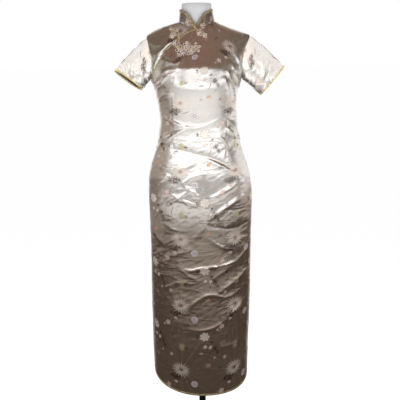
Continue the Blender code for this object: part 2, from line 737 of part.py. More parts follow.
def build():
    clear_scene()
    brocade = make_material("brocade", BROCADE)
    satin = make_material("binding_satin", SATIN)
    gold = make_material("gold_cord", GOLD_CORD)
    form_cloth = make_material("form_cover", FORM_CLOTH)
    steel = make_material("black_steel", BLACK_STEEL)

    front = make_front(brocade)
    flap = make_flap(front, brocade)
    back = make_back(brocade)

    last = 2 * HALF_STEPS
    armhole = range(ARMHOLE_STEPS + 1)
    armholes = []
    for layer in range(2):
        flap_top, back_top, front_top = flap[layer][-1], back[layer][-1], front[layer][-1]
        right = [flap_top[k] for k in armhole] + [back_top[last - k] for k in armhole][-2:0:-1]
        left = [front_top[last - k] for k in armhole] + [back_top[k] for k in armhole][-2:0:-1]
        armholes.append((right, left))
    for index, row in enumerate(SLEEVES):
        edges = (armholes[0][index], armholes[1][index])
        sleeve = make_sleeve(row, edges, brocade)
        top = len(sleeve[0]) - 1
        cells = [(top, c) for c in range(len(sleeve[0][0]))]
        inward = [(top - 1, c) for _, c in cells]
        make_binding(row[0].replace("sleeve", "cuff_binding"),
                     border(sleeve, cells, inward), satin, closed=True)

    neck_first = ARMHOLE_STEPS + SHOULDER_STEPS
    neckline = []
    for layer in range(2):
        front_neck = front[layer][-1][HALF_STEPS:last - neck_first + 1]
        back_neck = back[layer][-1][neck_first + 1:last - neck_first]
        flap_neck = flap[layer][-1][neck_first:]
        neckline.append(front_neck + back_neck + flap_neck)
    collar = make_collar(neckline, brocade)
    top = COLLAR_ROWS
    cells = [(top, c) for c in range(len(collar[0][0]))]
    make_binding("collar_binding",
                 border(collar, cells, [(top - 1, c) for _, c in cells]), satin)

    top = len(front[0]) - 1
    cells = [(top, c) for c in range(HALF_STEPS + 1)]
    make_binding("opening_binding",
                 border(front, cells, [(top - 1, c) for _, c in cells]), satin)
    make_binding("front_hem_binding", hem_border(front, FRONT_SKIRT_ROWS), satin)
    make_binding("back_hem_binding", hem_border(back, BACK_SKIRT_ROWS), satin)

    for row in FROGS:
        make_frog(row, gold)
    make_form(form_cloth)
    make_stand(steel)


build()
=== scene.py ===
"""Cheongsam dress on a dress form: a long fitted dress of champagne satin brocade, with a
mandarin collar, a slanted opening, short sleeves and side slits. It is bound in old-gold
satin and closed with corded flower frogs.

Metres, +Z up. The front faces -Y. Left and right are the wearer's, so right is -X. A step
counts from a side seam (0) to the centre of the front or back (17).
"""

import math

import bmesh
import bpy
import numpy as np
from mathutils import Matrix, Vector
from mathutils.bvhtree import BVHTree


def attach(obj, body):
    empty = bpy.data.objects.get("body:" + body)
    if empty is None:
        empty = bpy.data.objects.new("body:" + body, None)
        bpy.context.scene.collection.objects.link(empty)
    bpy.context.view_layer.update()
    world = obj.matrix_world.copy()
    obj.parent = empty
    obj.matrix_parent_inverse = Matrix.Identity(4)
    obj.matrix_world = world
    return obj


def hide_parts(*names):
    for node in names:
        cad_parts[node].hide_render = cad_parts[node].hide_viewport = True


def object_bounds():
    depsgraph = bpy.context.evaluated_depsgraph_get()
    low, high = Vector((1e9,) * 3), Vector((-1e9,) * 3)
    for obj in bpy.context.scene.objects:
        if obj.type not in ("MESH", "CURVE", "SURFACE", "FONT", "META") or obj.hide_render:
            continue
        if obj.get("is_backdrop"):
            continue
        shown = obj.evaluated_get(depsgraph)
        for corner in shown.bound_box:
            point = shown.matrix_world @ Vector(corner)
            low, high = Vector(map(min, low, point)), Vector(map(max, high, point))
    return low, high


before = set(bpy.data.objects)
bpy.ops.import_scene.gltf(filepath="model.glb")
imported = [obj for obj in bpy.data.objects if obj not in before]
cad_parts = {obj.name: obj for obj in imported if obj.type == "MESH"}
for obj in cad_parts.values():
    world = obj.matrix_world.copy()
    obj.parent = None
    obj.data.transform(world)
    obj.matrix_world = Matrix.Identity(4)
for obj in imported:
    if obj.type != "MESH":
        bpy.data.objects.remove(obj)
cad_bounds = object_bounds()


# ---- Camera ----
# Stands at eye height, three metres in front of the dress, and looks a little down. It is
# rolled by less than a degree.

CAMERA_PLACE = (0.0018, -3.1, 1.39)
LOOKS_DOWN = math.atan(0.16)
ROLL = math.radians(-0.875)
FOCAL_LENGTH = 76.86
SENSOR = 36.0

lens = bpy.data.cameras.new("camera")
lens.sensor_width = SENSOR
lens.lens = FOCAL_LENGTH
camera = bpy.data.objects.new("camera", lens)
camera.matrix_world = (Matrix.Translation(CAMERA_PLACE)
                       @ Matrix.Rotation(math.pi / 2 - LOOKS_DOWN, 4, "X")
                       @ Matrix.Rotation(ROLL, 4, "Z"))
bpy.context.scene.collection.objects.link(camera)
bpy.context.scene.camera = camera


# ---- Base of the stand ----
# A turned steel disc with a collet in its middle that takes the pole, and a screw that
# locks it. It is powder-coated black, with a fine grain and rubbed edges.

BASE_RADIUS = 0.16
BASE_HEIGHT = 0.01
COLLET_RADIUS = 0.028
COLLET_HEIGHT = 0.03
BASE_SIDES = 96
RIM_BEVEL = 0.0025
SCREW_RADIUS = 0.0045
SCREW_LENGTH = 0.01
SCREW_SIDES = 24
SCREW_BEVEL = 0.0005
COAT_BLACK = (0.012, 0.012, 0.013)
COAT_RUBBED = (0.09, 0.088, 0.085)


def sum_of(operation, swapped=False):
    """A method of Thread that does one sum with another value."""
    def method(self, other):
        return self.sum(operation, *((other, self) if swapped else (self, other)))
    return method


class Thread:
    """A socket in a material's node tree, so that shader sums are written as Python."""

    def __init__(self, tree, socket=None):
        self.tree, self.socket = tree, socket

    def node(self, kind, settings=(), inputs=(), output=0):
        """Any node: first its settings, then the values or links of its sockets."""
        made = self.tree.nodes.new(kind)
        for key, value in dict(settings).items():
            setattr(made, key, value)
        for key, value in dict(inputs).items():
            put(self.tree, made.inputs[key], value)
        return Thread(self.tree, made.outputs[output])

    def sum(self, operation, *values):
        return self.node("ShaderNodeMath", {"operation": operation}, dict(enumerate(values)))

    __add__ = __radd__ = sum_of("ADD")
    __sub__, __rsub__ = sum_of("SUBTRACT"), sum_of("SUBTRACT", swapped=True)
    __mul__ = __rmul__ = sum_of("MULTIPLY")
    __truediv__, __pow__, or_more = sum_of("DIVIDE"), sum_of("POWER"), sum_of("MAXIMUM")

    def __abs__(self):
        return self.sum("ABSOLUTE", self)

    def clamped(self):
        return self.node("ShaderNodeMath", {"use_clamp": True}, {0: self, 1: 0.0})

    def mixed(self, low, high):
        """A colour between two, by this share."""
        settings = {"data_type": "RGBA", "clamp_factor": True}
        return self.node("ShaderNodeMix", settings, {"Factor": self, 6: low, 7: high}, 2)

    def noise(self, scale=1.0, detail=2.0, dimensions="2D", output=0):
        return self.node("ShaderNodeTexNoise", {"noise_dimensions": dimensions},
                         {"Vector": self, "Scale": scale, "Detail": detail}, output)

    def scaled(self, *factors):
        return self.node("ShaderNodeVectorMath", {"operation": "MULTIPLY"},
                         {0: self, 1: factors})

    def axis(self, letter):
        return self.node("ShaderNodeSeparateXYZ", (), {"Vector": self}, letter)

    def place(self):
        """Where a point is on its piece."""
        return self.node("ShaderNodeTexCoord", output="Object")

    def cloth(self):
        """Where a point is on the cloth, in metres of cloth."""
        return self.node("ShaderNodeUVMap", {"uv_map": "cloth"})

    def bump(self, distance, strength):
        return self.node("ShaderNodeBump", (), {"Height": self, "Distance": distance,
                                                "Strength": strength})


def put(tree, socket, value):
    """Gives a socket a value or a link. A colour gets its alpha here."""
    if isinstance(value, Thread):
        tree.links.new(value.socket, socket)
    else:
        socket.default_value = (*value, 1.0) if socket.type == "RGBA" else value


def feed(tree, **inputs):
    """Sets or links the inputs of a material's shader."""
    for key, value in inputs.items():
        title = key.replace("_", " ").title().replace("Ior", "IOR")
        put(tree.tree, tree.tree.nodes["Principled BSDF"].inputs[title], value)


def new_material(name, **inputs):
    """A material with one Principled shader, and its tree as a Thread without a socket."""
    material = bpy.data.materials.new(name)
    material.use_nodes = True
    tree = Thread(material.node_tree)
    feed(tree, **inputs)
    return material, tree


black_steel, tree = new_material("black powder coat", specular_ior_level=0.5)
patches = tree.place().noise(18.0, 6.0, "3D")
edges = tree.node("ShaderNodeNewGeometry", output="Pointiness")
rubbed = ((edges - 0.53) * 14.0 * patches).clamped()
feed(tree, base_color=rubbed.mixed(COAT_BLACK, COAT_RUBBED),
     roughness=0.34 + patches * 0.16 + rubbed * 0.1,
     normal=tree.place().noise(900.0, 2.0, "3D").bump(0.0003, 0.5))


def select_only(piece):
    bpy.ops.object.select_all(action="DESELECT")
    piece.select_set(True)
    bpy.context.view_layer.objects.active = piece


def choose(piece, kind, test):
    """In edit mode, selects only the faces or edges that pass a test."""
    shape = bmesh.from_edit_mesh(piece.data)
    bpy.ops.mesh.select_all(action="DESELECT")
    for item in getattr(shape, kind):
        if test(item):
            item.select_set(True)
    shape.select_flush(True)
    bmesh.update_edit_mesh(piece.data)


def is_rim(edge):
    return len(edge.link_faces) == 2 and edge.calc_face_angle() > math.radians(50)


def close_up(piece, name, material, sharp=40.0):
    """Ends a modelled piece: name, material, place in the mesh, smooth shading."""
    piece.name = piece.data.name = name
    piece.data.materials.clear()
    piece.data.materials.append(material)
    select_only(piece)
    bpy.ops.object.transform_apply(location=True, rotation=True, scale=True)
    bpy.ops.object.shade_smooth_by_angle(angle=math.radians(sharp))


def steel_part(name, sides, radius, depth, middle, work, bevel, bevel_steps, tilt=0.0):
    """A cylinder of coated steel, changed in edit mode by its own work, with rounded rims."""
    bpy.ops.object.select_all(action="DESELECT")
    bpy.ops.mesh.primitive_cylinder_add(vertices=sides, radius=radius, depth=depth,
                                        location=middle, rotation=(tilt, 0, 0))
    piece = bpy.context.object
    bpy.ops.object.mode_set(mode="EDIT")
    work(piece)
    choose(piece, "edges", is_rim)
    bpy.ops.mesh.bevel(offset=bevel, segments=bevel_steps, affect="EDGES")
    bpy.ops.object.mode_set(mode="OBJECT")
    close_up(piece, name, black_steel)
    return piece


def raised_top(inset, shift):
    """Work that draws the top face in and pushes it up or down."""
    def work(piece):
        choose(piece, "faces", lambda face: face.normal.z > 0.9)
        bpy.ops.mesh.inset(thickness=inset)
        bpy.ops.mesh.extrude_region_move(TRANSFORM_OT_translate={"value": shift})
    return work


def fit(piece, slot, *nodes):
    """The slot of a piece, which is not used, and the solid that it stands for, which is hidden.
    All ride on the one body.
    """
    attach(piece, "root")
    for node in nodes:
        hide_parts(node)


stand_base = steel_part("stand_base", BASE_SIDES, BASE_RADIUS, BASE_HEIGHT,
                        (0, 0, BASE_HEIGHT / 2),
                        raised_top(BASE_RADIUS - COLLET_RADIUS, (0, 0, COLLET_HEIGHT)),
                        RIM_BEVEL, 4)
fit(stand_base, "black_steel", "form_base")
collet_screw = steel_part("collet_screw", SCREW_SIDES, SCREW_RADIUS, SCREW_LENGTH,
                          (0, -COLLET_RADIUS, BASE_HEIGHT + COLLET_HEIGHT * 0.55),
                          raised_top(SCREW_RADIUS * 0.45, (0, SCREW_LENGTH * 0.3, 0)),
                          SCREW_BEVEL, 2, math.pi / 2)
fit(collet_screw, "black_steel")


# ---- Pole ----
# A steel tube from the collet up into the form, with the same black coat. It slides in the
# collet and a ring under the form stops it.

POLE_RADIUS = 0.0125
POLE_SIDES = 48
POLE_FOOT = 0.0403
POLE_TOP = 0.7397
RING_RADIUS = 0.0205
RING_HEIGHT = 0.016
RING_BEVEL = 0.001


def ring_on_pole(piece):
    """Work that parts the top of the tube and makes it thicker."""
    bpy.ops.mesh.select_all(action="SELECT")
    bpy.ops.mesh.bisect(plane_co=(0, 0, POLE_TOP - RING_HEIGHT), plane_no=(0, 0, 1))
    foot = (POLE_TOP - POLE_FOOT) / 2 - RING_HEIGHT
    choose(piece, "faces", lambda face: (face.calc_center_median().z > foot
                                         and abs(face.normal.z) < 0.1))
    bpy.ops.mesh.extrude_region_shrink_fatten(
        TRANSFORM_OT_shrink_fatten={"value": RING_RADIUS - POLE_RADIUS})


pole = steel_part("pole", POLE_SIDES, POLE_RADIUS, POLE_TOP - POLE_FOOT,
                  (0, 0, (POLE_TOP + POLE_FOOT) / 2), ring_on_pole, RING_BEVEL, 3)
fit(pole, "black_steel", "form_pole")


# ---- Dress form ----
# A limbless foam torso with a short neck, covered in white jersey and capped with a disc.
# It slides over the pole, and the dress hangs from its shoulders.

BODY_SECTIONS = (
    # z,     right,  left,   front,  back,   square
    (0.170, 0.1755, 0.1685, 0.1120, 0.1120, 2.20),
    (0.330, 0.1795, 0.1715, 0.1120, 0.1130, 2.20),
    (0.470, 0.1805, 0.1780, 0.1120, 0.1150, 2.20),
    (0.610, 0.1815, 0.1830, 0.1110, 0.1170, 2.20),
    (0.780, 0.1820, 0.1880, 0.1100, 0.1210, 2.25),
    (0.920, 0.1848, 0.1920, 0.1090, 0.1250, 2.30),
    (0.990, 0.1825, 0.1865, 0.1070, 0.1220, 2.30),
    (1.050, 0.1690, 0.1700, 0.1040, 0.1110, 2.30),
    (1.110, 0.1500, 0.1520, 0.1010, 0.0970, 2.30),
    (1.180, 0.1388, 0.1422, 0.1010, 0.0880, 2.25),
    (1.240, 0.1455, 0.1390, 0.1140, 0.0910, 2.20),
    (1.300, 0.1575, 0.1470, 0.1270, 0.0980, 2.20),
    (1.335, 0.1680, 0.1570, 0.1240, 0.1020, 2.25),
    (1.390, 0.1820, 0.1800, 0.1120, 0.1060, 2.30),
    (1.450, 0.1880, 0.1915, 0.0910, 0.0980, 2.20),
    (1.4865, 0.1810, 0.1885, 0.0780, 0.0860, 1.95),
    (1.498, 0.1670, 0.1610, 0.0725, 0.0800, 1.80),
    (1.510, 0.1440, 0.1260, 0.0660, 0.0730, 1.68),
    (1.522, 0.1130, 0.0940, 0.0595, 0.0660, 1.62),
    (1.536, 0.0675, 0.0665, 0.0515, 0.0570, 1.70),
)
FORM_INSETS = (
    # z,      sides,  front and back
    (0.740, 0.0150, 0.0150),
    (0.900, 0.0080, 0.0110),
    (1.050, 0.0080, 0.0110),
    (1.300, 0.0080, 0.0090),
    (1.390, 0.0070, 0.0080),
    (1.450, 0.0050, 0.0070),
    (1.4865, 0.0020, 0.0070),
    (1.498, 0.0010, 0.0070),
    (1.522, 0.0010, 0.0080),
    (1.536, 0.0050, 0.0050),
)
NECK_RINGS = (
    # z,     half width, half depth
    (1.5450, 0.0568, 0.0484),
    (1.5520, 0.0545, 0.0475),
    (1.5620, 0.0533, 0.0470),
    (1.5850, 0.0530, 0.0468),
    (1.5925, 0.0530, 0.0468),
    (1.5935, 0.0522, 0.0460),
    (1.5945, 0.0530, 0.0468),
    (1.5975, 0.0524, 0.0462),
    (1.5992, 0.0508, 0.0446),
    (1.6000, 0.0470, 0.0410),
)
FORM_BOTTOM = 0.752
FORM_ROWS = 120
FORM_SIDES = 96
FORM_DROP = 0.0024
FORM_POINTED = 0.4
JERSEY_WHITE = (0.83, 0.83, 0.83)
JERSEY_SHADE = (0.74, 0.74, 0.75)


def read_table(table, key):
    """The columns of a table at these keys, by smooth curves through its rows."""
    rows = np.asarray(table, float)
    last = len(rows) - 1
    before = np.maximum(np.arange(last + 1) - 1, 0)
    after = np.minimum(np.arange(last + 1) + 1, last)
    slopes = (rows[after] - rows[before]) / (rows[after, :1] - rows[before, :1])
    key = np.clip(np.asarray(key, float), rows[0, 0], rows[last, 0])
    low = np.clip(np.searchsorted(rows[:, 0], key, side="right") - 1, 0, last - 1)
    span = (rows[low + 1, 0] - rows[low, 0])[..., None]
    t = (key - rows[low, 0])[..., None] / span
    values = ((2 * t**3 - 3 * t**2 + 1) * rows[low] + (t**3 - 2 * t**2 + t) * slopes[low] * span
              + (3 * t**2 - 2 * t**3) * rows[low + 1] + (t**3 - t**2) * slopes[low + 1] * span)
    return np.moveaxis(values[..., 1:], -1, 0)


def mix(a, b, t):
    return a + (b - a) * t


def smoothstep(t):
    t = np.clip(t, 0.0, 1.0)
    return t * t * (3.0 - 2.0 * t)


def ring_point(angle, z, half_right, half_left, front, back, square):
    """Points of a rounded outline. The angle is 0 at centre front and grows to the left."""
    s, c = np.sin(angle), np.cos(angle)
    x = np.where(s > 0, half_left, -half_right) * np.abs(s) ** (2.0 / square)
    y = np.where(c > 0, -front, back) * np.abs(c) ** (2.0 / square)
    return np.stack(np.broadcast_arrays(x, y, z), -1)


def ring_angles(count):
    return 2.0 * math.pi * np.arange(count) / count


def faces_between(rows, columns, closed):
    """Corner numbers (row, column) of a grid's faces, in order round each face."""
    row, column = np.mgrid[0:rows - 1, 0:columns if closed else columns - 1]
    return [(row, column), (row, column + 1), (row + 1, column + 1), (row + 1, column)]


def quads_of(corners, rows, columns):
    """A grid's faces as numbers of points. After the last row or column comes the first."""
    numbers = [(r % rows) * columns + c % columns for r, c in corners]
    return np.stack(numbers, -1).reshape(-1, 4).tolist()


def end_caps(rows, columns):
    """Faces that close the two ends of a tube."""
    return [list(range(columns))[::-1], list(range((rows - 1) * columns, rows * columns))]


def add_piece(name, points, faces):
    mesh = bpy.data.meshes.new(name)
    mesh.from_pydata(points.reshape(-1, 3).tolist(), [], faces)
    piece = bpy.data.objects.new(name, mesh)
    bpy.context.scene.collection.objects.link(piece)
    return piece


jersey, tree = new_material("white jersey", specular_ior_level=0.25)
ribs, wales = (tree.node("ShaderNodeTexWave", {"wave_type": "BANDS", "bands_direction": axis},
                         {"Vector": tree.place(), "Scale": scale, "Distortion": 1.5,
                          "Detail": 2.0}) for axis, scale in (("X", 420.0), ("Z", 520.0)))
shade = tree.place().noise(9.0, 4.0, "3D")
feed(tree, base_color=shade.mixed(JERSEY_WHITE, JERSEY_SHADE),
     roughness=0.66 + shade * 0.12, normal=(ribs * wales).bump(0.00025, 0.35))

turns = ring_angles(FORM_SIDES)
z = np.linspace(FORM_BOTTOM, BODY_SECTIONS[-1][0], FORM_ROWS)[:, None]
half_right, half_left, front, back, square = read_table(BODY_SECTIONS, z)
sides, depth = read_table(FORM_INSETS, z)
torso_rings = ring_point(turns, z - FORM_DROP, half_right - sides, half_left - sides,
                         front - depth, back - depth,
                         square - FORM_POINTED * smoothstep((z - 1.42) / 0.05))
z, half_width, half_depth = np.array(NECK_RINGS).T[..., None]
neck_rings = ring_point(turns, z, half_width, half_width, half_depth, half_depth, 2.0)
underside = [torso_rings[0] * (share, share, 1.0) - (0.0, 0.0, drop)
             for share, drop in ((0.93, 0.012), (0.985, 0.008), (0.998, 0.003))]
rings = np.concatenate([underside, torso_rings, neck_rings])
corners = faces_between(len(rings), FORM_SIDES, True)
form_body = add_piece("form_body", rings, quads_of(corners, len(rings), FORM_SIDES)
                      + end_caps(len(rings), FORM_SIDES))
close_up(form_body, "form_body", jersey)
fit(form_body, "form_cover", "form_torso")


# ---- Back ----
# One plain panel of satin brocade from hem to neck, lined in thin olive satin, and bound
# along the hem and up both slits. It is sewn to the front at the sides.

CLOTH = 0.0012
HEM_Z = 0.183
SLIT_TOP_Z = 0.61
BUST_Z = 1.3
UNDERARM_Z = 1.335
SHOULDER_LEVELS = (1.4865, 1.498, 1.51, 1.522, 1.536)
NECK_BACK_Z = 1.534
HEM_SWEEPS = ((0.075, 1.6), (0.052, 2.1))  # right and left: how high, and how late
HEM_CORNER = 0.018
SLIT_SPREAD = math.radians(4.0)
QUARTER_WIDTH = 0.235
ARMHOLE_REACH_FRONT = math.radians(31.0)
ARMHOLE_REACH_BACK = math.radians(28.0)
ARMHOLE_STEPS = 8
SHOULDER_STEPS = len(SHOULDER_LEVELS) - 1
NECK_STEPS = 5
HALF_STEPS = ARMHOLE_STEPS + SHOULDER_STEPS + NECK_STEPS
PER_STEP = 4  # columns of the mesh in one step
half = HALF_STEPS * PER_STEP
column = np.arange(2 * half + 1)
steps = np.minimum(column, 2 * half - column) / PER_STEP
CREST = 0.001  # how round the crest of a fold is
SEAM_SINK = 0.001  # how far the cloth dips into a seam
SEAM_REACH = 0.0045
BODICE_EASING = 1.5
ARMHOLE_BEND = 0.9
BACK_SKIRT_ROWS = 250
BACK_BODICE_ROWS = 46
REPEAT_WIDTH = 0.2  # of the woven pattern
REPEAT_HEIGHT = 0.2459
PATTERN_ACROSS = -0.0287  # a rosette's place, from the middle of the hem
PATTERN_UP = 0.0428
PATTERN_LEAN = 0.016  # how much the grain leans, per metre
BUDS = 155.0  # of the sprigs, in a metre
WOBBLE = 0.003  # how uneven the outlines are that the silks draw
SOFT_RIM = 0.0009
MOTIFS = (
    # kind, then across, up, half width and half height in millimetres, then tilt,
    # petals, silk, second silk
    ("leaves", -78, 15, 21, 12, 0.15, 11, "leaf", "bark"),
    ("leaves", -60, 21, 18, 10, -0.35, 9, "bark", "leaf"),
    ("leaves", -68, 5, 12, 8, 0.6, 7, "leaf", "leaf"),
    ("leaves", 10, -66, 6, 12, 0.2, 5, "wine", "leaf"),
    ("leaves", 74, -110, 10, 13, -0.4, 9, "leaf", "moss"),
    ("leaves", 84, -124, 8, 11, 0.5, 7, "moss", "leaf"),
    ("leaves", 62, -86, 7, 6, 0.9, 5, "leaf", "leaf"),
    ("leaves", -32, -112, 9, 6, -0.2, 5, "wine", "leaf"),
    ("leaves", 92, 60, 11, 7, 0.3, 5, "mauve", "bark"),
    ("leaves", -84, -70, 8, 10, 0.1, 5, "mauve", "mauve"),
    ("leaves", 22, 58, 8, 6, 0.7, 5, "mauve", "bark"),
    ("stroke", -30, 12, 16, 0.7, 0.35, 6, "bark", "leaf"),
    ("stroke", 22, -188, 13, 0.9, 0.05, -5, "beige", "pale"),
    ("stroke", 56, -128, 17, 0.6, 1.1, 9, "bark", "leaf"),
    ("stroke", -82, -96, 20, 0.7, 1.35, -7, "mauve", "bark"),
    ("flower", -88, -148, 8, 7, 0.9, 5, "pale", "mauve"),
    ("flower", -70, -4, 8, 6, 0, 5, "pale", "pink"),
    ("flower", 99, -29, 12, 10, 0.6, 5, "pink", "wine"),
    ("flower", 84, -40, 6, 5, 0.2, 5, "pink", "wine"),
    ("flower", 39, -103, 8, 7, 0.2, 5, "white", "grey"),
    ("flower", 58, -105, 9, 6, 1, 5, "white", "grey"),
    ("flower", 24, -128, 10, 4, 0.1, 4, "pale", "grey"),
    ("flower", 74, -146, 6, 4, 0.9, 4, "pale", "mauve"),
    ("fan", -47, -110, 13, 16, 0, 8, "yellow", "moss"),
    ("fan", 50, -174, 11, 9, 0.3, 6, "orange", "red"),
    ("petals", -51, 46.5, 35, 29, 0, 17, "beige", "red"),
    ("petals", -50, 47.5, 24, 20, 0.2, 14, "rose", "red"),
    ("flower", 37, -64.5, 19, 18, 0, 7, "white", "grey"),
    ("rosette", 0, 0, 13, 12.5, 0, 9, "lavender", "violet"),
)
SILKS = {
    "leaf": (0.1, 0.076, 0.07),
    "bark": (0.19, 0.135, 0.12),
    "wine": (0.25, 0.115, 0.105),
    "moss": (0.21, 0.21, 0.145),
    "mauve": (0.36, 0.31, 0.33),
    "pale": (0.6, 0.53, 0.49),
    "white": (0.86, 0.78, 0.7),
    "grey": (0.27, 0.23, 0.23),
    "beige": (0.79, 0.7, 0.6),
    "rose": (0.76, 0.67, 0.63),
    "pink": (0.76, 0.61, 0.57),
    "red": (0.42, 0.13, 0.09),
    "yellow": (0.6, 0.55, 0.27),
    "orange": (0.76, 0.48, 0.27),
    "lavender": (0.84, 0.8, 0.81),
    "violet": (0.3, 0.24, 0.29),
}
GROUND = (0.7, 0.69, 0.662)
GROUND_SHADE = (0.66, 0.643, 0.61)
SATIN_ROUGHNESS = 0.26
SATIN_ANISOTROPY = 0.45
CRINKLE_DEPTH = 3.2
LINING_OLIVE = (0.085, 0.07, 0.022)
LINING_DARK = (0.045, 0.036, 0.012)
BINDING_HALF_WIDTH = 0.0037  # a bias strip of old-gold satin, folded over the raw edge
BINDING_HALF_HEIGHT = 0.0017
BINDING_REACH = 0.0011  # past the edge of the cloth
BINDING_SIDES = 12
BIAS = 4200.0  # how fine its slanting threads are
# Lit and shaded copies of the old gold: a painted highlight on the crests of the binding's
# puckers and a painted shade in their hollows.
GOLD_LIT = (0.74, 0.64, 0.4)
GOLD_PAINTED_SHADE = (0.36, 0.3, 0.15)
BACK_WORN = 0.35
BACK_RIPPLE = 0.0006


def body_at(side, facing, from_middle, z):
    """The body's surface, so far round from the middle of the front (-1) or back (1)."""
    angle = side * (from_middle if facing < 0 else math.pi - from_middle)
    return ring_point(angle, z, *read_table(BODY_SECTIONS, z))


def body_by_width(x, z, facing):
    """The body's surface at this x and z. Facing is -1 at the front and 1 at the back."""
    half_right, half_left, front, back, square = read_table(BODY_SECTIONS, z)
    share = np.minimum(np.abs(x) / np.where(x > 0, half_left, half_right), 1.0)
    depth = front if facing < 0 else back
    y = facing * depth * (1.0 - share**square) ** (1.0 / square)
    return np.stack(np.broadcast_arrays(x, y, z), -1)


def body_half_width(side, z):
    half_right, half_left = read_table(BODY_SECTIONS, z)[:2]
    return float(half_left if side > 0 else half_right)


def armhole_point(side, facing, t):
    """A point on the armhole, t from the underarm (0) to the shoulder (1)."""
    z = mix(UNDERARM_Z, SHOULDER_LEVELS[0], 0.5 - 0.5 * math.cos(math.pi * t))
    reach = ARMHOLE_REACH_FRONT if facing < 0 else ARMHOLE_REACH_BACK
    return body_at(side, facing, math.pi / 2 - reach * math.sin(math.pi * t), z)


def shoulder_point(side, t):
    level = t * SHOULDER_STEPS
    low = min(int(level), SHOULDER_STEPS - 1)
    z = mix(SHOULDER_LEVELS[low], SHOULDER_LEVELS[low + 1], level - low)
    return np.array((side * body_half_width(side, z), 0.0, z))


def neck_point(side, facing, t, end, end_z):
    """Neckline from the shoulder (0) to its end (1) at the centre."""
    turn = t * math.pi / 2
    x = mix(end, side * body_half_width(side, SHOULDER_LEVELS[-1]), math.cos(turn))
    z = mix(end_z, SHOULDER_LEVELS[-1], math.cos(turn) ** 1.3)
    return body_by_width(x, z, facing)


def bodice_top(side, facing, step, end, end_z):
    """Top edge of a half panel: armhole, shoulder seam, then neckline."""
    if step <= ARMHOLE_STEPS:
        return armhole_point(side, facing, step / ARMHOLE_STEPS)
    if step <= ARMHOLE_STEPS + SHOULDER_STEPS:
        return shoulder_point(side, (step - ARMHOLE_STEPS) / SHOULDER_STEPS)
    past = step - ARMHOLE_STEPS - SHOULDER_STEPS
    return neck_point(side, facing, past / NECK_STEPS, end, end_z)


def skirt_points(side, facing, step, rise):
    """Panel below the bust line. Step counts from the side seam, rise from hem to bust."""
    share = step / HALF_STEPS
    sweep = [np.where(side < 0, right, left) for right, left in zip(*HEM_SWEEPS)]
    cut = np.maximum(HEM_CORNER - share * QUARTER_WIDTH, 0.0)
    hem = (HEM_Z + sweep[0] * (1.0 - share) ** sweep[1]
           + HEM_CORNER - np.sqrt(HEM_CORNER**2 - cut**2))
    z = mix(hem, BUST_Z, rise)
    open_share = np.clip((SLIT_TOP_Z - z) / (SLIT_TOP_Z - HEM_Z), 0.0, 1.0)
    return body_at(side, facing, (math.pi / 2 - SLIT_SPREAD * open_share) * (1.0 - share), z)


def bodice_points(side, facing, step, rise, top):
    """Panel between the bust line (0) and its top edge (1), drawn between the two ends."""
    from_middle = (math.pi / 2) * (1.0 - step / HALF_STEPS)
    foot = body_at(side, facing, from_middle, BUST_Z)
    z = mix(BUST_Z, top[:, 2], rise)
    bend = 1.0 + ARMHOLE_BEND * smoothstep(step / 4.0) * smoothstep((HALF_STEPS - step) / 8.0)
    straight = body_by_width(mix(foot[:, 0], top[:, 0], rise**bend), z, facing)
    half_width = np.array([body_half_width(s, h) for s, h in zip(side, top[:, 2])])
    square = read_table(BODY_SECTIONS, top[:, 2])[4]
    top_middle = np.arcsin(np.minimum(np.abs(top[:, 0]) / half_width, 1.0) ** (square / 2.0))
    round_points = body_at(side, facing, mix(from_middle, top_middle, rise), z)
    near_side = (1.0 - smoothstep((step - 2.0) / 2.0))[:, None]
    return mix(straight, round_points, near_side)


def panel_grid(facing, tops, first_side, skirt_rows, bodice_rows):
    """Rows of points from hem to top edge. Columns run from one side seam to the other."""
    side = np.where(column < half, first_side, -first_side)
    rise = np.linspace(0.0, 1.0, skirt_rows + 1)[:, None]
    skirt = skirt_points(side, facing, steps, rise)
    rise = 1.0 - (1.0 - np.linspace(0.0, 1.0, bodice_rows + 1)[1:, None]) ** BODICE_EASING
    return np.concatenate([skirt, bodice_points(side, facing, steps, rise, np.array(tops))])


def lengths(grid, axis):
    """Length of cloth from the first row (axis 0) or column (axis 1) to each point."""
    steps = np.linalg.norm(np.diff(grid, axis=axis), axis=-1)
    return np.insert(np.cumsum(steps, axis=axis), 0, 0.0, axis=axis)


def heading_of(points, closed=False, axis=0):
    """The way that lines of points run, at each point."""
    if closed:
        return np.roll(points, -1, axis=axis) - np.roll(points, 1, axis=axis)
    return np.gradient(points, axis=axis)


def unit(vectors):
    return vectors / np.linalg.norm(vectors, axis=-1, keepdims=True)


def grid_normals(grid, closed=False):
    return unit(np.cross(heading_of(grid, closed, 1), heading_of(grid)))


def survey(sheet):
    """Of a sheet's points: normals, x, z, and cloth lengths across, up and to the top."""
    across, upward = lengths(sheet, 1), lengths(sheet, 0)
    return (grid_normals(sheet), sheet[..., 0], sheet[..., 2], across, upward,
            upward[-1] - upward)


def near_edge(distance, reach=SEAM_REACH):
    return np.exp(-((distance / reach) ** 2))


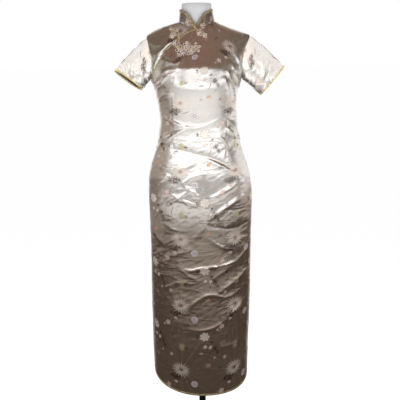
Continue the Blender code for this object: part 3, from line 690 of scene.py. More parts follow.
def crease(x, z, points, height, above, below):
    """Height of one pulled fold: a sharp crest along a smooth line that fades at both ends.
    The line, the height and how far it falls away on its two sides are in millimetres."""
    points, height = np.array(points) / 1000.0, height / 1000.0
    above, below = above / 1000.0, below / 1000.0
    keyed = np.column_stack([np.linspace(0.0, 1.0, len(points)), points])
    share = np.linspace(0.0, 1.0, 25)
    line = read_table(keyed, share).T
    best = np.full(x.shape, 9.0)
    best_share, best_side = np.zeros(x.shape), np.zeros(x.shape)
    for (start, end, at) in zip(line, line[1:], share):
        run = end - start
        off_x, off_z = x - start[0], z - start[1]
        t = np.clip((off_x * run[0] + off_z * run[1]) / (run @ run), 0.0, 1.0)
        distance = np.hypot(off_x - t * run[0], off_z - t * run[1])
        closer = distance < best
        best = np.where(closer, distance, best)
        best_share = np.where(closer, at + t / 24.0, best_share)
        best_side = np.where(closer, run[0] * off_z - run[1] * off_x, best_side)
    width = np.where(best_side * (points[-1][0] - points[0][0]) > 0.0, above, below)
    fade = np.sin(math.pi * np.clip(best_share, 0.0, 1.0)) ** 0.6
    away = np.hypot(best, CREST) - CREST
    return height * fade * mix(np.exp(-away / width), np.exp(-away / (3.0 * width)), 0.35)


def crumple(x, z, seed, longest, shortest, slant, stretch):
    """Soft random waves, from -1 to 1 or so, drawn out along a slanting direction."""
    draw = np.random.default_rng(seed)
    total = np.zeros(x.shape)
    for _ in range(36):
        wave = 2.0 * math.pi / draw.uniform(shortest, longest)
        heading = draw.uniform(0.0, 2.0 * math.pi)
        along, across = wave * math.cos(heading) / stretch, wave * math.sin(heading)
        kx = along * math.cos(slant) - across * math.sin(slant)
        kz = along * math.sin(slant) + across * math.cos(slant)
        total += np.sin(kx * x + kz * z + draw.uniform(0.0, 2.0 * math.pi))
    return total / 6.0


def add_map(mesh, corners):
    """A map in metres of cloth, from its values at the corners of the first faces."""
    values = np.stack(corners, 2).ravel()
    spare = np.zeros(2 * len(mesh.loops) - values.size)
    layer = mesh.uv_layers.new(name="cloth")
    layer.data.foreach_set("uv", np.concatenate([values, spare]))


def face_outwards(mesh, hole_sides=0):
    """Turns the faces outwards, once the holes of up to so many sides are filled."""
    shape = bmesh.new()
    shape.from_mesh(mesh)
    if hole_sides:
        rims = [edge for edge in shape.edges if edge.is_boundary]
        bmesh.ops.holes_fill(shape, edges=rims, sides=hole_sides)
    bmesh.ops.recalc_face_normals(shape, faces=shape.faces)
    shape.to_mesh(mesh)
    shape.free()


def cloth_object(name, node, grid, cloth_uv, wear_and_shade, closed=False, flipped=False):
    """A sheet of brocade with its lining, in place of this node. Worn says how crinkled
    each point is."""
    rows, columns = grid.shape[:2]
    corners = faces_between(rows, columns, closed)
    if flipped:
        corners.reverse()
    piece = add_piece(name, grid, quads_of(corners, rows, columns))
    add_map(piece.data, [cloth_uv[r, c] for r, c in corners])
    crinkled = piece.data.attributes.new("wear_and_shade", "FLOAT", "POINT")
    crinkled.data.foreach_set("value", np.broadcast_to(wear_and_shade, (rows, columns)).ravel())
    for material in (brocade, lining):
        piece.data.materials.append(material)
    wall = piece.modifiers.new("thickness", "SOLIDIFY")
    wall.thickness, wall.offset, wall.material_offset = CLOTH, -1.0, 1
    select_only(piece)
    bpy.ops.object.modifier_apply(modifier=wall.name)
    bpy.ops.object.shade_smooth_by_angle(angle=math.radians(50))
    fit(piece, "brocade", node)
    return piece


def bind(node, edge, normal, closed=False):
    """A satin strip folded round an edge, in place of this node. The cloth lies on the left
    of the way the edge runs, seen from outside."""
    inward = unit(np.cross(normal, heading_of(edge, closed)))
    count = len(edge)
    angle = ring_angles(BINDING_SIDES)
    out = np.cos(angle)[None, :, None]
    up = np.sign(np.sin(angle)) * np.abs(np.sin(angle)) ** 0.75
    middle = edge + inward * (BINDING_HALF_WIDTH - BINDING_REACH) - normal * (CLOTH / 2)
    grid = (middle[:, None] + inward[:, None] * out * BINDING_HALF_WIDTH
            + normal[:, None] * up[None, :, None] * BINDING_HALF_HEIGHT)
    corners = faces_between(count + closed, BINDING_SIDES, True)
    faces = quads_of(corners, count, BINDING_SIDES)
    piece = add_piece(node + "_satin", grid,
                      faces if closed else faces + end_caps(count, BINDING_SIDES))
    run = lengths(np.concatenate([edge, edge[:1]]), 0)
    girth = lengths(np.concatenate([grid, grid[:, :1]], 1), 1)[0]
    add_map(piece.data, [np.stack([run[r], girth[c]], -1) for r, c in corners])
    face_outwards(piece.data)
    piece.data.materials.append(binding_satin)
    select_only(piece)
    bpy.ops.object.shade_smooth_by_angle(angle=math.radians(60))
    fit(piece, "binding_satin", node)
    return piece


def hem_path(grid, normals):
    """Down one slit, along the hem and up the other slit."""
    slit = [r for r in range(1, len(grid)) if grid[r, 0, 2] < SLIT_TOP_Z]
    path = [(r, 0) for r in reversed(slit)]
    path += [(0, c) for c in range(grid.shape[1])]
    path += [(r, grid.shape[1] - 1) for r in slit]
    rows, columns = np.array(path).T
    return grid[rows, columns], normals[rows, columns]


def inside(depth):
    """Share of silk at this depth inside an outline, in metres."""
    return (depth / SOFT_RIM + 0.5).clamped()


brocade, tree = new_material("champagne satin brocade", anisotropic=SATIN_ANISOTROPY)
cloth = tree.cloth()
moved = tree.node("ShaderNodeVectorMath", {"operation": "MULTIPLY_ADD"},
                  {0: cloth.noise(230.0, 3.0, output="Color"), 1: (WOBBLE, WOBBLE, 0.0),
                   2: cloth})
u, v = (moved.axis(letter) - WOBBLE / 2 for letter in "XY")
rise = v - PATTERN_UP
lean = u - PATTERN_ACROSS - rise * PATTERN_LEAN
mottle = ((cloth.noise(420.0) - 0.45) * 5.0).clamped()
colour = cloth.noise(14.0, 3.0).mixed(GROUND, GROUND_SHADE)
buds = tree.node("ShaderNodeTexVoronoi", {"voronoi_dimensions": "2D"},
                 {"Vector": cloth, "Scale": BUDS})
woven = dull = None      # where silk floats, and where it is too dull to mirror
for kind, *sizes, tilt, petals, silk, second in MOTIFS:
    across, up, half_width, half_height = (size / 1000.0 for size in sizes)
    x = tree.sum("WRAP", lean - across, REPEAT_WIDTH / 2, -REPEAT_WIDTH / 2)
    y = tree.sum("WRAP", rise - up, REPEAT_HEIGHT / 2, -REPEAT_HEIGHT / 2)
    x, y = x * math.cos(tilt) + y * math.sin(tilt), y * math.cos(tilt) - x * math.sin(tilt)
    share = mottle      # of the second silk
    if kind == "stroke":
        reach = 1.0 - (x / half_width) ** 2.0
        mask = inside(reach * (half_height * 1.5) - abs(y - x * x * petals))
    else:
        x, y = x / half_width, y / half_height
        distance = (x * x + y * y) ** 0.5
        size = min(half_width, half_height)
        turn = tree.sum("ARCTAN2", y, x) * (petals / 2.0)
    if kind in ("flower", "rosette"):
        notch = 0.1 if kind == "rosette" else 0.3
        wave = abs(tree.sum("COSINE", turn))
        depth = (wave ** 0.7 * notch + (1.0 - notch) - distance) * size
        mask = inside(depth)
        drawn = 1.0 - inside(depth - 0.0014)
        if kind == "rosette":
            drawn = drawn.or_more(inside(0.15 * size - abs(distance - 0.42) * size))
        folds = ((0.42 - wave) * 3.0).clamped()
        share = drawn.or_more(folds) * (mottle * 0.4 + 0.6)
    elif kind != "stroke":
        broad, sits = (size * 0.058, 0.62) if kind == "petals" else (size * 0.21, 0.55)
        aside = abs(tree.sum("SINE", turn)) * distance * (2.0 * size / petals)
        belly = 1.0 - ((distance - sits) / (1.0 - sits * 0.92)) ** 2.0
        mask = inside(belly.or_more(0.0) * broad - aside)
        if kind == "petals":
            share = ((0.34 - distance) * 7.0).clamped()
        else:
            full = (1.0 - distance * distance).or_more(0.0) * 0.5
            mask = (mask * 0.45).or_more(inside((full - buds) / BUDS))
    colour = mask.mixed(colour, share.mixed(SILKS[silk], SILKS[second]))
    woven = mask if woven is None else woven.or_more(mask)
    if kind not in ("leaves", "stroke"):
        dull = mask if dull is None else dull.or_more(mask)
floats = cloth.scaled(2600.0, 420.0, 1.0).noise()
stitches = tree.sum("SINE", (u + v * 0.6) * 7800.0)
slanted = tree.node("ShaderNodeMapping", (), {"Vector": cloth, "Rotation": (0.0, 0.0, 0.45),
                                               "Scale": (11.0, 34.0, 1.0)})
crinkles = tree.node("ShaderNodeTexNoise", {"noise_dimensions": "2D",
                                             "noise_type": "RIDGED_MULTIFRACTAL"},
                     {"Vector": slanted, "Scale": 1.0, "Detail": 2.0, "Roughness": 0.55,
                      "Distortion": 0.6, "Offset": 0.9, "Gain": 1.2})
wear_and_shade = (tree.node("ShaderNodeAttribute", {"attribute_name": "wear_and_shade"}, output="Fac")
        * ((cloth.noise(11.0, 1.0) - 0.32) * 4.0).clamped())
height = (floats * 0.1 + woven * 0.55 + woven * stitches * 0.1
          + crinkles * wear_and_shade * CRINKLE_DEPTH)
feed(tree, base_color=colour, metallic=1.0 - dull * 0.5,
     roughness=SATIN_ROUGHNESS + woven * 0.16 + floats * 0.04,
     normal=height.bump(0.0004, 0.55))

lining, tree = new_material("olive satin lining", metallic=0.2)
ribs = tree.cloth().scaled(1800.0, 500.0, 1.0).noise()
feed(tree, base_color=tree.cloth().noise(40.0, 4.0).mixed(LINING_OLIVE, LINING_DARK),
     roughness=0.38 + ribs * 0.14, normal=ribs.bump(0.0002, 0.4))

binding_satin, tree = new_material("old gold satin", metallic=0.5)
cloth = tree.cloth()
threads = tree.sum("SINE", (cloth.axis("X") + cloth.axis("Y")) * BIAS)
puckers = cloth.noise(150.0, 3.0)
# Painted light: the lit gold on the crests of the puckers, the shaded gold in their hollows.
feed(tree, base_color=((puckers - 0.35) * 2.6).clamped().mixed(GOLD_PAINTED_SHADE, GOLD_LIT),
     roughness=0.3 + puckers * 0.16, normal=(threads * 0.12 + puckers).bump(0.0006, 0.7))

tops = [bodice_top(1.0 if k < half else -1.0, 1.0, s, 0.0, NECK_BACK_Z)
        for k, s in enumerate(steps)]
back_base = panel_grid(1.0, tops, 1.0, BACK_SKIRT_ROWS, BACK_BODICE_ROWS)
normals, x, z, across, upward, from_top = survey(back_base)
from_side = np.minimum(across, across[:, -1:] - across)
calm = smoothstep(from_side / 0.035) * smoothstep(from_top / 0.03)
lift = calm * BACK_RIPPLE * crumple(x, z, 5, 0.16, 0.05, 0.3, 2.2)
lift -= SEAM_SINK * near_edge(from_side)
back_grid = back_base + normals * lift[..., None]
cloth_uv = np.stack([across - across[:, half:half + 1],
                     np.broadcast_to(upward[:, half:half + 1], across.shape)], -1)
back_panel = cloth_object("back_cloth", "back_panel", back_grid, cloth_uv, BACK_WORN)
back_hem = bind("back_hem_binding", *hem_path(back_grid, grid_normals(back_grid)))


# ---- Main front ----
# One panel from hem to neck. Its right edge slants over the chest from the neck to the
# underarm. It is pulled into creases over the waist, hips and thighs.

NECK_FRONT_Z = 1.512
NECK_END_LEFT = -0.002
NECK_END_RIGHT = -0.006
OPENING_FOOT_Z = 1.3305
FRONT_SKIRT_ROWS = 300
FRONT_BODICE_ROWS = 50
EASED_FROM = 1.08  # above this the bust takes up cloth, so the pattern sits closer
EASED_UP = 0.24
EASED_ACROSS = 0.17
FRONT_RIDGES = 0.0008
FRONT_RIPPLE = 0.0005
OPENING_LINE = (
    # x,       z
    (-0.1624, 1.3400),
    (-0.1530, 1.3640),
    (-0.1413, 1.3905),
    (-0.1264, 1.4145),
    (-0.1079, 1.4420),
    (-0.0788, 1.4680),
    (-0.0426, 1.4965),
    (NECK_END_LEFT, NECK_FRONT_Z),
)
FRONT_CREASES = (
    # millimetres: points (x, z), height, above, below
    (((-168, 1352), (-80, 1371), (60, 1373), (164, 1358)), 7, 26, 46),
    (((-123, 1203), (-12, 1166), (104, 1210)), 3, 3.2, 4),
    (((-130, 1110), (-96, 1134), (-60, 1156), (-14, 1170)), 5.2, 5, 6.5),
    (((-100, 1094), (-13, 1075), (82, 1042), (166, 979)), -4.6, 5, 7.5),
    (((-146, 980), (-125, 992), (-103, 1001)), 5.2, 3.9, 5.5),
    (((-61, 968), (-25, 993), (24, 1006)), 5.2, 4.3, 6.1),
    (((-61, 968), (-23, 939), (2, 914)), 3.7, 3.3, 4.2),
    (((27, 910), (91, 941), (155, 976)), 5.4, 3.7, 5.4),
    (((26, 834), (90, 880), (162, 922)), 6.2, 7, 9),
    (((18, 819), (115, 803), (176, 824)), -4.2, 3.7, 5),
    (((-36, 754), (0, 794), (25, 819)), 3.7, 3.3, 4.2),
    (((-126, 745), (-103, 765), (-79, 781)), 3.4, 3.3, 4.2),
    (((-88, 671), (-38, 655), (9, 662), (124, 682), (175, 733)), 6, 4.4, 5.4),
    (((41, 620), (85, 650), (128, 678)), 5, 8, 5.5),
    (((-78, 663), (-38, 633), (-3, 617)), 3.7, 3.3, 4.6),
    (((62, 568), (113, 604), (175, 655)), 9, 11, 6.2),
    (((-48, 514), (-4, 550), (40, 565), (98, 553), (167, 596)), 5.9, 4.1, 5.9),
    (((-53, 435), (13, 433), (75, 459), (163, 537)), 4.7, 3.7, 5.4),
    (((-170, 858), (-161, 786), (-123, 741)), 3.9, 3.7, 4.2),
    (((-132, 825), (-89, 803), (-36, 795)), 3, 3.3, 4.2),
    (((-86, 1374), (-131, 1348), (-148, 1312)), 5.5, 6, 8),
    (((108, 1396), (137, 1352), (145, 1300)), 8, 5, 6),
    (((88, 1345), (106, 1297), (121, 1215)), 7.4, 5.5, 6.5),
    (((-124, 1210), (-91, 1187), (-56, 1171)), 5, 5, 6),
    (((-143, 1101), (-115, 1122), (-83, 1139)), 4.9, 3.5, 4.4),
    (((-137, 1070), (-115, 1090), (-94, 1105)), 3.7, 3.5, 4.2),
    (((97, 1166), (114, 1147), (132, 1122)), 6.4, 3.7, 4.2),
    (((94, 1205), (128, 1157), (151, 1110)), 7, 5, 6.2),
    (((65, 1137), (89, 1119), (110, 1094)), 4.4, 3.7, 4.2),
    (((115, 1436), (139, 1402), (146, 1352)), 6.2, 4.5, 7),
    (((98, 1370), (119, 1322), (132, 1255)), 8.2, 5.5, 6.5),
    (((-86, 1291), (-119, 1283), (-140, 1260)), 4.6, 5.5, 7),
    (((-124, 1437), (-99, 1413), (-46, 1397)), 6.4, 5, 13),
    (((-136, 1412), (-105, 1396), (-60, 1386)), 5.6, 5, 10),
    (((-78, 1360), (-118, 1335), (-144, 1291)), 5, 5.5, 7),
    (((96, 1452), (135, 1425), (153, 1378)), 7, 5, 8.5),
    (((-120, 890), (-76, 918), (-33, 947)), 3.4, 3, 4.3),
    (((18, 779), (71, 742), (128, 719)), 3.4, 3.3, 4.3),
    (((-141, 582), (-75, 611), (-17, 603)), 3.4, 3.3, 4.3),
    (((96, 290), (135, 303), (168, 330)), 7, 11, 7),
    (((60, 365), (110, 372), (160, 400)), 5, 10, 6.2),
    (((70, 470), (120, 500), (172, 560)), 7.4, 12, 6),
    (((20, 1060), (70, 1035), (150, 990)), 4, 5, 6),
    (((-150, 1030), (-90, 1020), (-20, 1035)), 3.6, 4.8, 5.6),
    (((-110, 935), (-50, 905), (30, 875)), 3.6, 4.6, 5.6),
    (((-130, 700), (-80, 715), (-20, 735)), 3.2, 4.6, 5.6),
    (((-168, 395), (-146, 325), (-116, 288)), 3.7, 4.3, 4.3),
)
DART_DEPTH = 0.0007
DART_FULLNESS = 0.0003
DARTS = (
    # x at the bust, x at the waist, top z, low z
    (-0.095, -0.090, 1.285, 1.060),
    (0.102, 0.097, 1.285, 1.040),
)


def dart_dip(x, z, row):
    """A sewn tuck: a narrow groove between slightly fuller cloth."""
    top_x, low_x, top_z, low_z = row
    t = (z - low_z) / (top_z - low_z)
    away = np.abs(x - mix(low_x, top_x, t))
    strength = smoothstep(t / 0.15) * smoothstep((1.0 - t) / 0.15)
    return strength * (DART_FULLNESS * near_edge(away, 0.012)
                       - DART_DEPTH * near_edge(away, 0.0026))


side_x = -body_half_width(-1.0, OPENING_FOOT_Z)
opening = np.array(((side_x, OPENING_FOOT_Z),) + OPENING_LINE)
keyed = np.column_stack([np.linspace(0.0, 1.0, len(opening)), opening])
opening_x, opening_z = read_table(keyed, steps[:half + 1] / HALF_STEPS)
opening_edge = body_by_width(opening_x, opening_z, -1.0)
left_top = [bodice_top(1.0, -1.0, s, NECK_END_LEFT, NECK_FRONT_Z) for s in steps[half + 1:]]
front_base = panel_grid(-1.0, [*opening_edge, *left_top], -1.0, FRONT_SKIRT_ROWS,
                        FRONT_BODICE_ROWS)
normals, x, z, across, upward, from_top = survey(front_base)
from_side = np.minimum(across, across[:, -1:] - across)
lift = sum(crease(x, z, *row) for row in FRONT_CREASES)
wear_and_shade = smoothstep((1.22 - z) / 0.1) * smoothstep((z - 0.3) / 0.25)
wear_and_shade *= 1.0 - 0.55 * near_edge(z - 0.94, 0.14)
aside = smoothstep((0.14 - from_side) / 0.09)
crinkled = 0.15 + 0.85 * np.maximum(wear_and_shade, aside * smoothstep((z - 1.1) / 0.12))
ridges = 1.0 - np.abs(crumple(x, z, 11, 0.045, 0.016, 0.5, 2.4))
lift += FRONT_RIDGES * wear_and_shade * ridges
lift += FRONT_RIPPLE * crumple(x, z, 12, 0.16, 0.06, -0.3, 1.8)
lift *= smoothstep(from_side / 0.022) * smoothstep(from_top / 0.02)
lift += sum(dart_dip(x, z, row) for row in DARTS)
lift -= SEAM_SINK * near_edge(from_side)
lift -= SEAM_SINK * near_edge(from_top) * (column > half)
front_grid = front_base + normals * lift[..., None]
front_normals = grid_normals(front_grid)
up_middle = np.broadcast_to(upward[:, half:half + 1], across.shape)
over_bust = np.maximum(up_middle - EASED_FROM, 0.0)
cloth_uv = np.stack([(across - across[:, half:half + 1])
                     * (1.0 + EASED_ACROSS * smoothstep(over_bust / 0.15)),
                     up_middle + EASED_UP * over_bust], -1)
front_panel = cloth_object("front_cloth", "front_panel", front_grid, cloth_uv, crinkled)
front_hem = bind("front_hem_binding", *hem_path(front_grid, front_normals))
opening_binding = bind("opening_binding", front_grid[-1, half::-1], front_normals[-1, half::-1])


# ---- Under flap ----
# The piece over the right chest, from the armhole, shoulder and neck down to the slanted
# edge, where it runs a little way under the main front.

FLAP_ROWS = 60
FLAP_UNDER = 0.05  # share of its height that lies under the front
FLAP_WORN = 0.6
FLAP_RIPPLE = 0.0005
FLAP_SINK = 0.0022  # under the front
FLAP_CREASES = (
    # millimetres: points (x, z), height, above, below
    (((-170, 1474), (-141, 1456), (-85, 1460)), 4.2, 6, 11),
    (((-150, 1414), (-122, 1436), (-86, 1450)), 4.8, 6, 12),
    (((-172, 1450), (-156, 1410), (-158, 1368)), 4.4, 6, 8),
)

step = steps[:half + 1]
high = np.array([bodice_top(-1.0, -1.0, s, NECK_END_RIGHT, NECK_FRONT_Z) for s in step])
rise = np.linspace(-FLAP_UNDER, 1.0, FLAP_ROWS + 1)[:, None]
near_side = (1.0 - smoothstep((step - 1.0) / 2.0))[:, None]
straight = body_by_width(mix(opening_edge[:, 0], high[:, 0], rise),
                         mix(opening_edge[:, 2], high[:, 2], rise), -1.0)
chord = mix(opening_edge, high, rise[..., None])
flap_base = mix(straight, chord, near_side)
normals, x, z, across, upward, from_top = survey(flap_base)
from_opening = upward - upward[np.argmin(np.abs(rise[:, 0]))]
tucked = 1.0 - smoothstep((from_opening + 0.001) / 0.01)
lift = FLAP_RIPPLE * crumple(x, z, 21, 0.09, 0.03, 0.6, 1.6) - FLAP_SINK * tucked
lift += sum(crease(x, z, *row) for row in FLAP_CREASES) * (1.0 - tucked)
lift *= smoothstep(from_top / 0.02)
lift -= SEAM_SINK * near_edge(from_top)
flap_grid = flap_base + normals * lift[..., None]
under_flap = cloth_object("flap_cloth", "under_flap", flap_grid,
                          np.stack([x, z - HEM_Z], -1), FLAP_WORN)


# ---- Sleeves ----
# Short set-in sleeves of the same brocade, eased into the armholes, with slanted cuffs
# bound in satin.

SLEEVES = (
    # side of the body, cuff x,  cuff z, half width, slope, half depth, drawn back, area
    ("right", 0.2504, 1.3338, 0.0593, 0.745, 0.045, 0.009, 0.04),
    ("left", 0.2689, 1.3242, 0.0662, 1.16, 0.045, 0.001, 0.05),
)
SLEEVE_WORN = 1.6
SLEEVE_PATTERN_UP = 0.092
SLEEVE_ROWS = 44
SLEEVE_CAP = 0.006
SLEEVE_RIPPLE = 0.0013
SLEEVE_EASE = 0.0007  # gathered into the head
SLEEVE_CREASES = (
    # millimetres: points (round from the underarm, down from the armhole), height,
    # above, below
    (((14, 4), (50, 20), (98, 20)), 4, 5, 7),
    (((12, 14), (46, 40), (88, 52)), 4.2, 5, 7),
    (((10, 28), (38, 60), (70, 92)), 4, 5, 7),
    (((108, 26), (92, 62), (64, 88)), 3, 5, 6),
    (((136, 36), (120, 78), (94, 110)), 2.8, 5, 6),
    (((112, 8), (140, 30), (150, 70)), 2.6, 5, 6),
    (((20, 50), (52, 84), (76, 120)), 3.2, 4, 5),
    (((60, 12), (96, 34), (128, 30)), 2.8, 3.5, 4.5),
    (((150, 20), (132, 54), (128, 96)), 2.6, 3.5, 4.5),
    (((84, 70), (104, 88), (140, 90)), 2.6, 3.5, 4.5),
)
SEAM = 0.0004  # between pieces that are sewn edge to edge

sleeve_pieces = []
armhole = np.arange(ARMHOLE_STEPS * PER_STEP + 1)
armholes = (
    np.concatenate([flap_grid[-1][armhole], back_grid[-1][2 * half - armhole][-2:0:-1]]),
    np.concatenate([front_grid[-1][2 * half - armhole], back_grid[-1][armhole][-2:0:-1]]),
)
for (named, cuff_x, cuff_z, half_width, slope, half_depth, drawn_back, area), edge in zip(
        SLEEVES, armholes):
    side = -1.0 if named == "right" else 1.0
    count = len(edge)
    length = math.hypot(1.0, slope)
    over = np.array((side / length, 0.0, slope / length))
    onward = np.array((side * slope / length, 0.0, -1.0 / length))
    turn = ring_angles(count)
    aside = -np.sin(turn)[:, None]
    cuff = (np.array((side * cuff_x, 0.0, cuff_z)) - over * half_width * np.cos(turn)[:, None]
            + np.array((0.0, half_depth, 0.0)) * aside + onward * drawn_back * aside)
    share = np.linspace(0.0, 1.0, SLEEVE_ROWS + 1)[:, None, None]
    head = (0.5 - 0.5 * np.cos(turn))[:, None]
    base = mix(edge + onward * SEAM, cuff, share)
    base = base + over * (SLEEVE_CAP * np.sin(math.pi * share) * head)
    flipped = side > 0
    normals = grid_normals(base, closed=True) * (-1.0 if flipped else 1.0)
    down = lengths(base, 0)
    looped = np.concatenate([base, base[:, :1]], 1)
    around = lengths(looped, 1)
    ease = SLEEVE_EASE * np.exp(-down / 0.016) * np.sin(26.0 * turn) * head[:, 0]
    lift = ease + SLEEVE_RIPPLE * crumple(around[:, :-1], down, 31 + flipped, 0.11, 0.03,
                                          0.9, 1.8)
    from_front, from_back = around[:, :-1], around[:, -1:] - around[:, :-1]
    lift += sum(crease(from_front, down, *row) + crease(from_back, down, *row)
                for row in SLEEVE_CREASES)
    lift *= smoothstep(down / 0.008) * smoothstep((down[-1] - down) / 0.02)
    grid = base + normals * (lift - SEAM_SINK * near_edge(down) * 0.6)[..., None]
    cloth_uv = np.stack([around - around[:, count // 2:count // 2 + 1],
                         SLEEVE_PATTERN_UP - np.concatenate([down, down[:, :1]], 1)], -1)
    piece = cloth_object("sleeve_cloth_" + named, "sleeve_" + named, grid, cloth_uv,
                         SLEEVE_WORN, True, flipped)
    order = slice(None) if flipped else slice(None, None, -1)
    cuff = bind("cuff_binding_" + named, grid[-1][order], normals[-1][order], True)
    sleeve_pieces += [piece, cuff]


# ---- Collar ----
# A standing collar of interlined brocade, with rounded fronts that meet in a V. It is sewn
# to the neckline and bound along its upper edge.

COLLAR_TOP = (
    # share, z
    (0.00, 1.5240),
    (0.10, 1.5510),
    (0.20, 1.5660),
    (0.30, 1.5730),
    (0.50, 1.5790),
    (1.00, 1.5860),
)
COLLAR_TOP_HALF_WIDTH = 0.0575
COLLAR_TOP_FRONT = 0.057
COLLAR_TOP_BACK = 0.0525
COLLAR_ROWS = 22
COLLAR_WORN = 0.15

neck_first = (ARMHOLE_STEPS + SHOULDER_STEPS) * PER_STEP
neckline = np.concatenate([front_grid[-1][half:2 * half - neck_first + 1],
                           back_grid[-1][neck_first + 1:2 * half - neck_first],
                           flap_grid[-1][neck_first:]])
count = len(neckline) - 1
place = np.arange(count + 1)
share = 1.0 - np.abs(2.0 * place / count - 1.0)
side = np.where(2 * place < count, 1.0, -1.0)
turn = share * math.pi
gap = np.where(side > 0, NECK_END_LEFT, NECK_END_RIGHT)
top = np.stack([side * COLLAR_TOP_HALF_WIDTH * np.sin(turn) + gap * (0.5 + 0.5 * np.cos(turn)),
                np.where(share < 0.5, -COLLAR_TOP_FRONT, COLLAR_TOP_BACK) * np.abs(np.cos(turn)),
                read_table(COLLAR_TOP, share)[0]], -1)
rise = np.linspace(0.0, 1.0, COLLAR_ROWS + 1)[:, None, None]
collar_base = mix(neckline + (0.0, 0.0, SEAM), top, rise)
collar_normals, x, z, around, upward, from_top = survey(collar_base)
lift = -0.6 * SEAM_SINK * near_edge(upward)
collar_grid = collar_base + collar_normals * lift[..., None]
cloth_uv = np.stack([around, upward], -1)
collar = cloth_object("collar_cloth", "collar", collar_grid, cloth_uv, COLLAR_WORN)
collar_binding = bind("collar_binding", collar_grid[-1][::-1], collar_normals[-1][::-1])


# ---- Flower frogs ----
# Fastenings of stiffened gold cord, coiled into open flowers and stitched down by hand, two
# at the collar and two across the slanted opening. Small satin pads fill some petals, and a
# ball knot on one flower slips through a loop on the other.

CORD_RADIUS = 0.001
CORD_SIDES = 6
FROGS = (
    # where, side, x, z, half x, half z, ball knot or loop's end (x, z)
    ("collar", "right", -0.031, 1.5335, 0.011, 0.0105, (-0.006, 1.515)),
    ("collar", "left", 0.02, 1.4945, 0.019, 0.015, (-0.006, 1.515)),
    ("chest", "right", -0.0765, 1.5, 0.0215, 0.017, (-0.064, 1.48)),
    ("chest", "left", -0.029, 1.443, 0.05, 0.0255, (-0.064, 1.48)),
)
BLOOMS = (
    # frog, across, up, size (shares of its half width), petals, turn, opening
    (0, 0.05, 0.0, 0.8, 4, 20, 360),
    (1, -0.52, 0.1, 0.6, 5, 10, 360),
    (1, 0.38, -0.55, 0.4, 4, 30, 360),
    (1, 0.05, 1.7, 0.42, 3, 40, 360),
    (2, 0.08, 0.0, 0.56, 5, 35, 360),
    (2, -0.62, 0.62, 0.36, 4, 0, 360),
    (2, -0.5, -0.85, 0.4, 4, 20, 360),
    (3, -0.62, -0.2, 0.31, 6, 10, 360),
    (3, -0.13, 0.42, 0.24, 5, 18, 360),
    (3, 0.06, -0.48, 0.23, 4, 54, 360),
    (3, -0.98, 0.7, 0.19, 4, 0, 360),
    (3, 0.5, 0.02, 0.34, 5, 20, 288),
)
LOOP_RADIUS = 0.0012
LOOP_LIFT = 0.0008
LOOP_HALF_GAP = 0.0011
KNOT_RADIUS = 0.0036
TWIST = 0.0022  # length of one turn of a cord's strands
TAN, CREAM, BLACK, LAVENDER, GOLD = range(5)  # materials, in the order of the lists below
PAD_ORDER = (BLACK, BLACK, LAVENDER, BLACK, GOLD)
TAIL_SAG = 0.16
# Each cord: its name, a lit copy of its colour painted on the crests of its twisted strands, and
# a shaded copy painted in the grooves between them.
CORDS = (("tan gold cord", (0.74, 0.56, 0.34), (0.28, 0.18, 0.1)),
         ("cream cord", (0.99, 0.86, 0.73), (0.84, 0.65, 0.5)))
# Each pad: its name and two copies of its satin colour, painted in streaks along its threads as
# sheen and shade.
PADS = (("black satin pad", (0.022, 0.018, 0.018), (0.06, 0.045, 0.04)),
        ("lavender satin pad", (0.42, 0.35, 0.52), (0.27, 0.21, 0.36)),
        ("gold satin pad", (0.74, 0.6, 0.3), (0.5, 0.37, 0.15)))

frog_materials = []
for name, lit, wear_and_shade in CORDS:
    material, tree = new_material(name)
    strands = abs(tree.sum("SINE", (tree.cloth().axis("X") / TWIST
                                    + tree.cloth().axis("Y")) * math.pi))
    # Painted light: the lit colour on the crests of the strands, painted shade in the grooves
    # between them.
    feed(tree, base_color=strands.mixed(wear_and_shade, lit), roughness=0.55 - strands * 0.2,
         normal=strands.bump(0.0003, 0.8))
    frog_materials.append(material)
for name, lit, wear_and_shade in PADS:
    material, tree = new_material(name, metallic=0.25)
    threads = tree.place().scaled(4200.0, 900.0, 900.0).noise(1.0, 1.0, "3D")
    # Painted sheen and shade: the two copies mixed in streaks along the threads.
    feed(tree, base_color=threads.mixed(lit, wear_and_shade), roughness=0.3 + threads * 0.2,
         normal=threads.bump(0.0002, 0.6))
    frog_materials.append(material)

under_frogs = [front_panel, under_flap, collar, opening_binding, collar_binding]
seats = [BVHTree.FromPolygons([v.co for v in seat.data.vertices],
                              [p.vertices for p in seat.data.polygons])
         for seat in under_frogs]


def lay_down(points, height):
    """Points (x, z) laid on whatever cloth is frontmost there, with the way it faces."""
    placed, facing = [], []
    for x, z in points:
        hits = [seat.ray_cast(Vector((x, -0.5, z)), Vector((0, 1, 0))) for seat in seats]
        hits = [hit for hit in hits if hit[0] is not None]
        if not hits:
            placed.append(placed[-1] if placed else Vector((x, -0.09, z)))
            facing.append(Vector((0, -1, 0)))
            continue
        point, normal, *_ = min(hits, key=lambda hit: hit[3])
        placed.append(point + normal * height)
        facing.append(normal)
    return np.array(placed), np.array(facing)


def smooth_path(values, closed, times=2):
    for _ in range(times):
        padded = np.concatenate([values[-1:], values, values[:1]] if closed
                                else [values[:1], values, values[-1:]])
        values = (padded[:-2] + 2.0 * values + padded[2:]) / 4.0
    return values


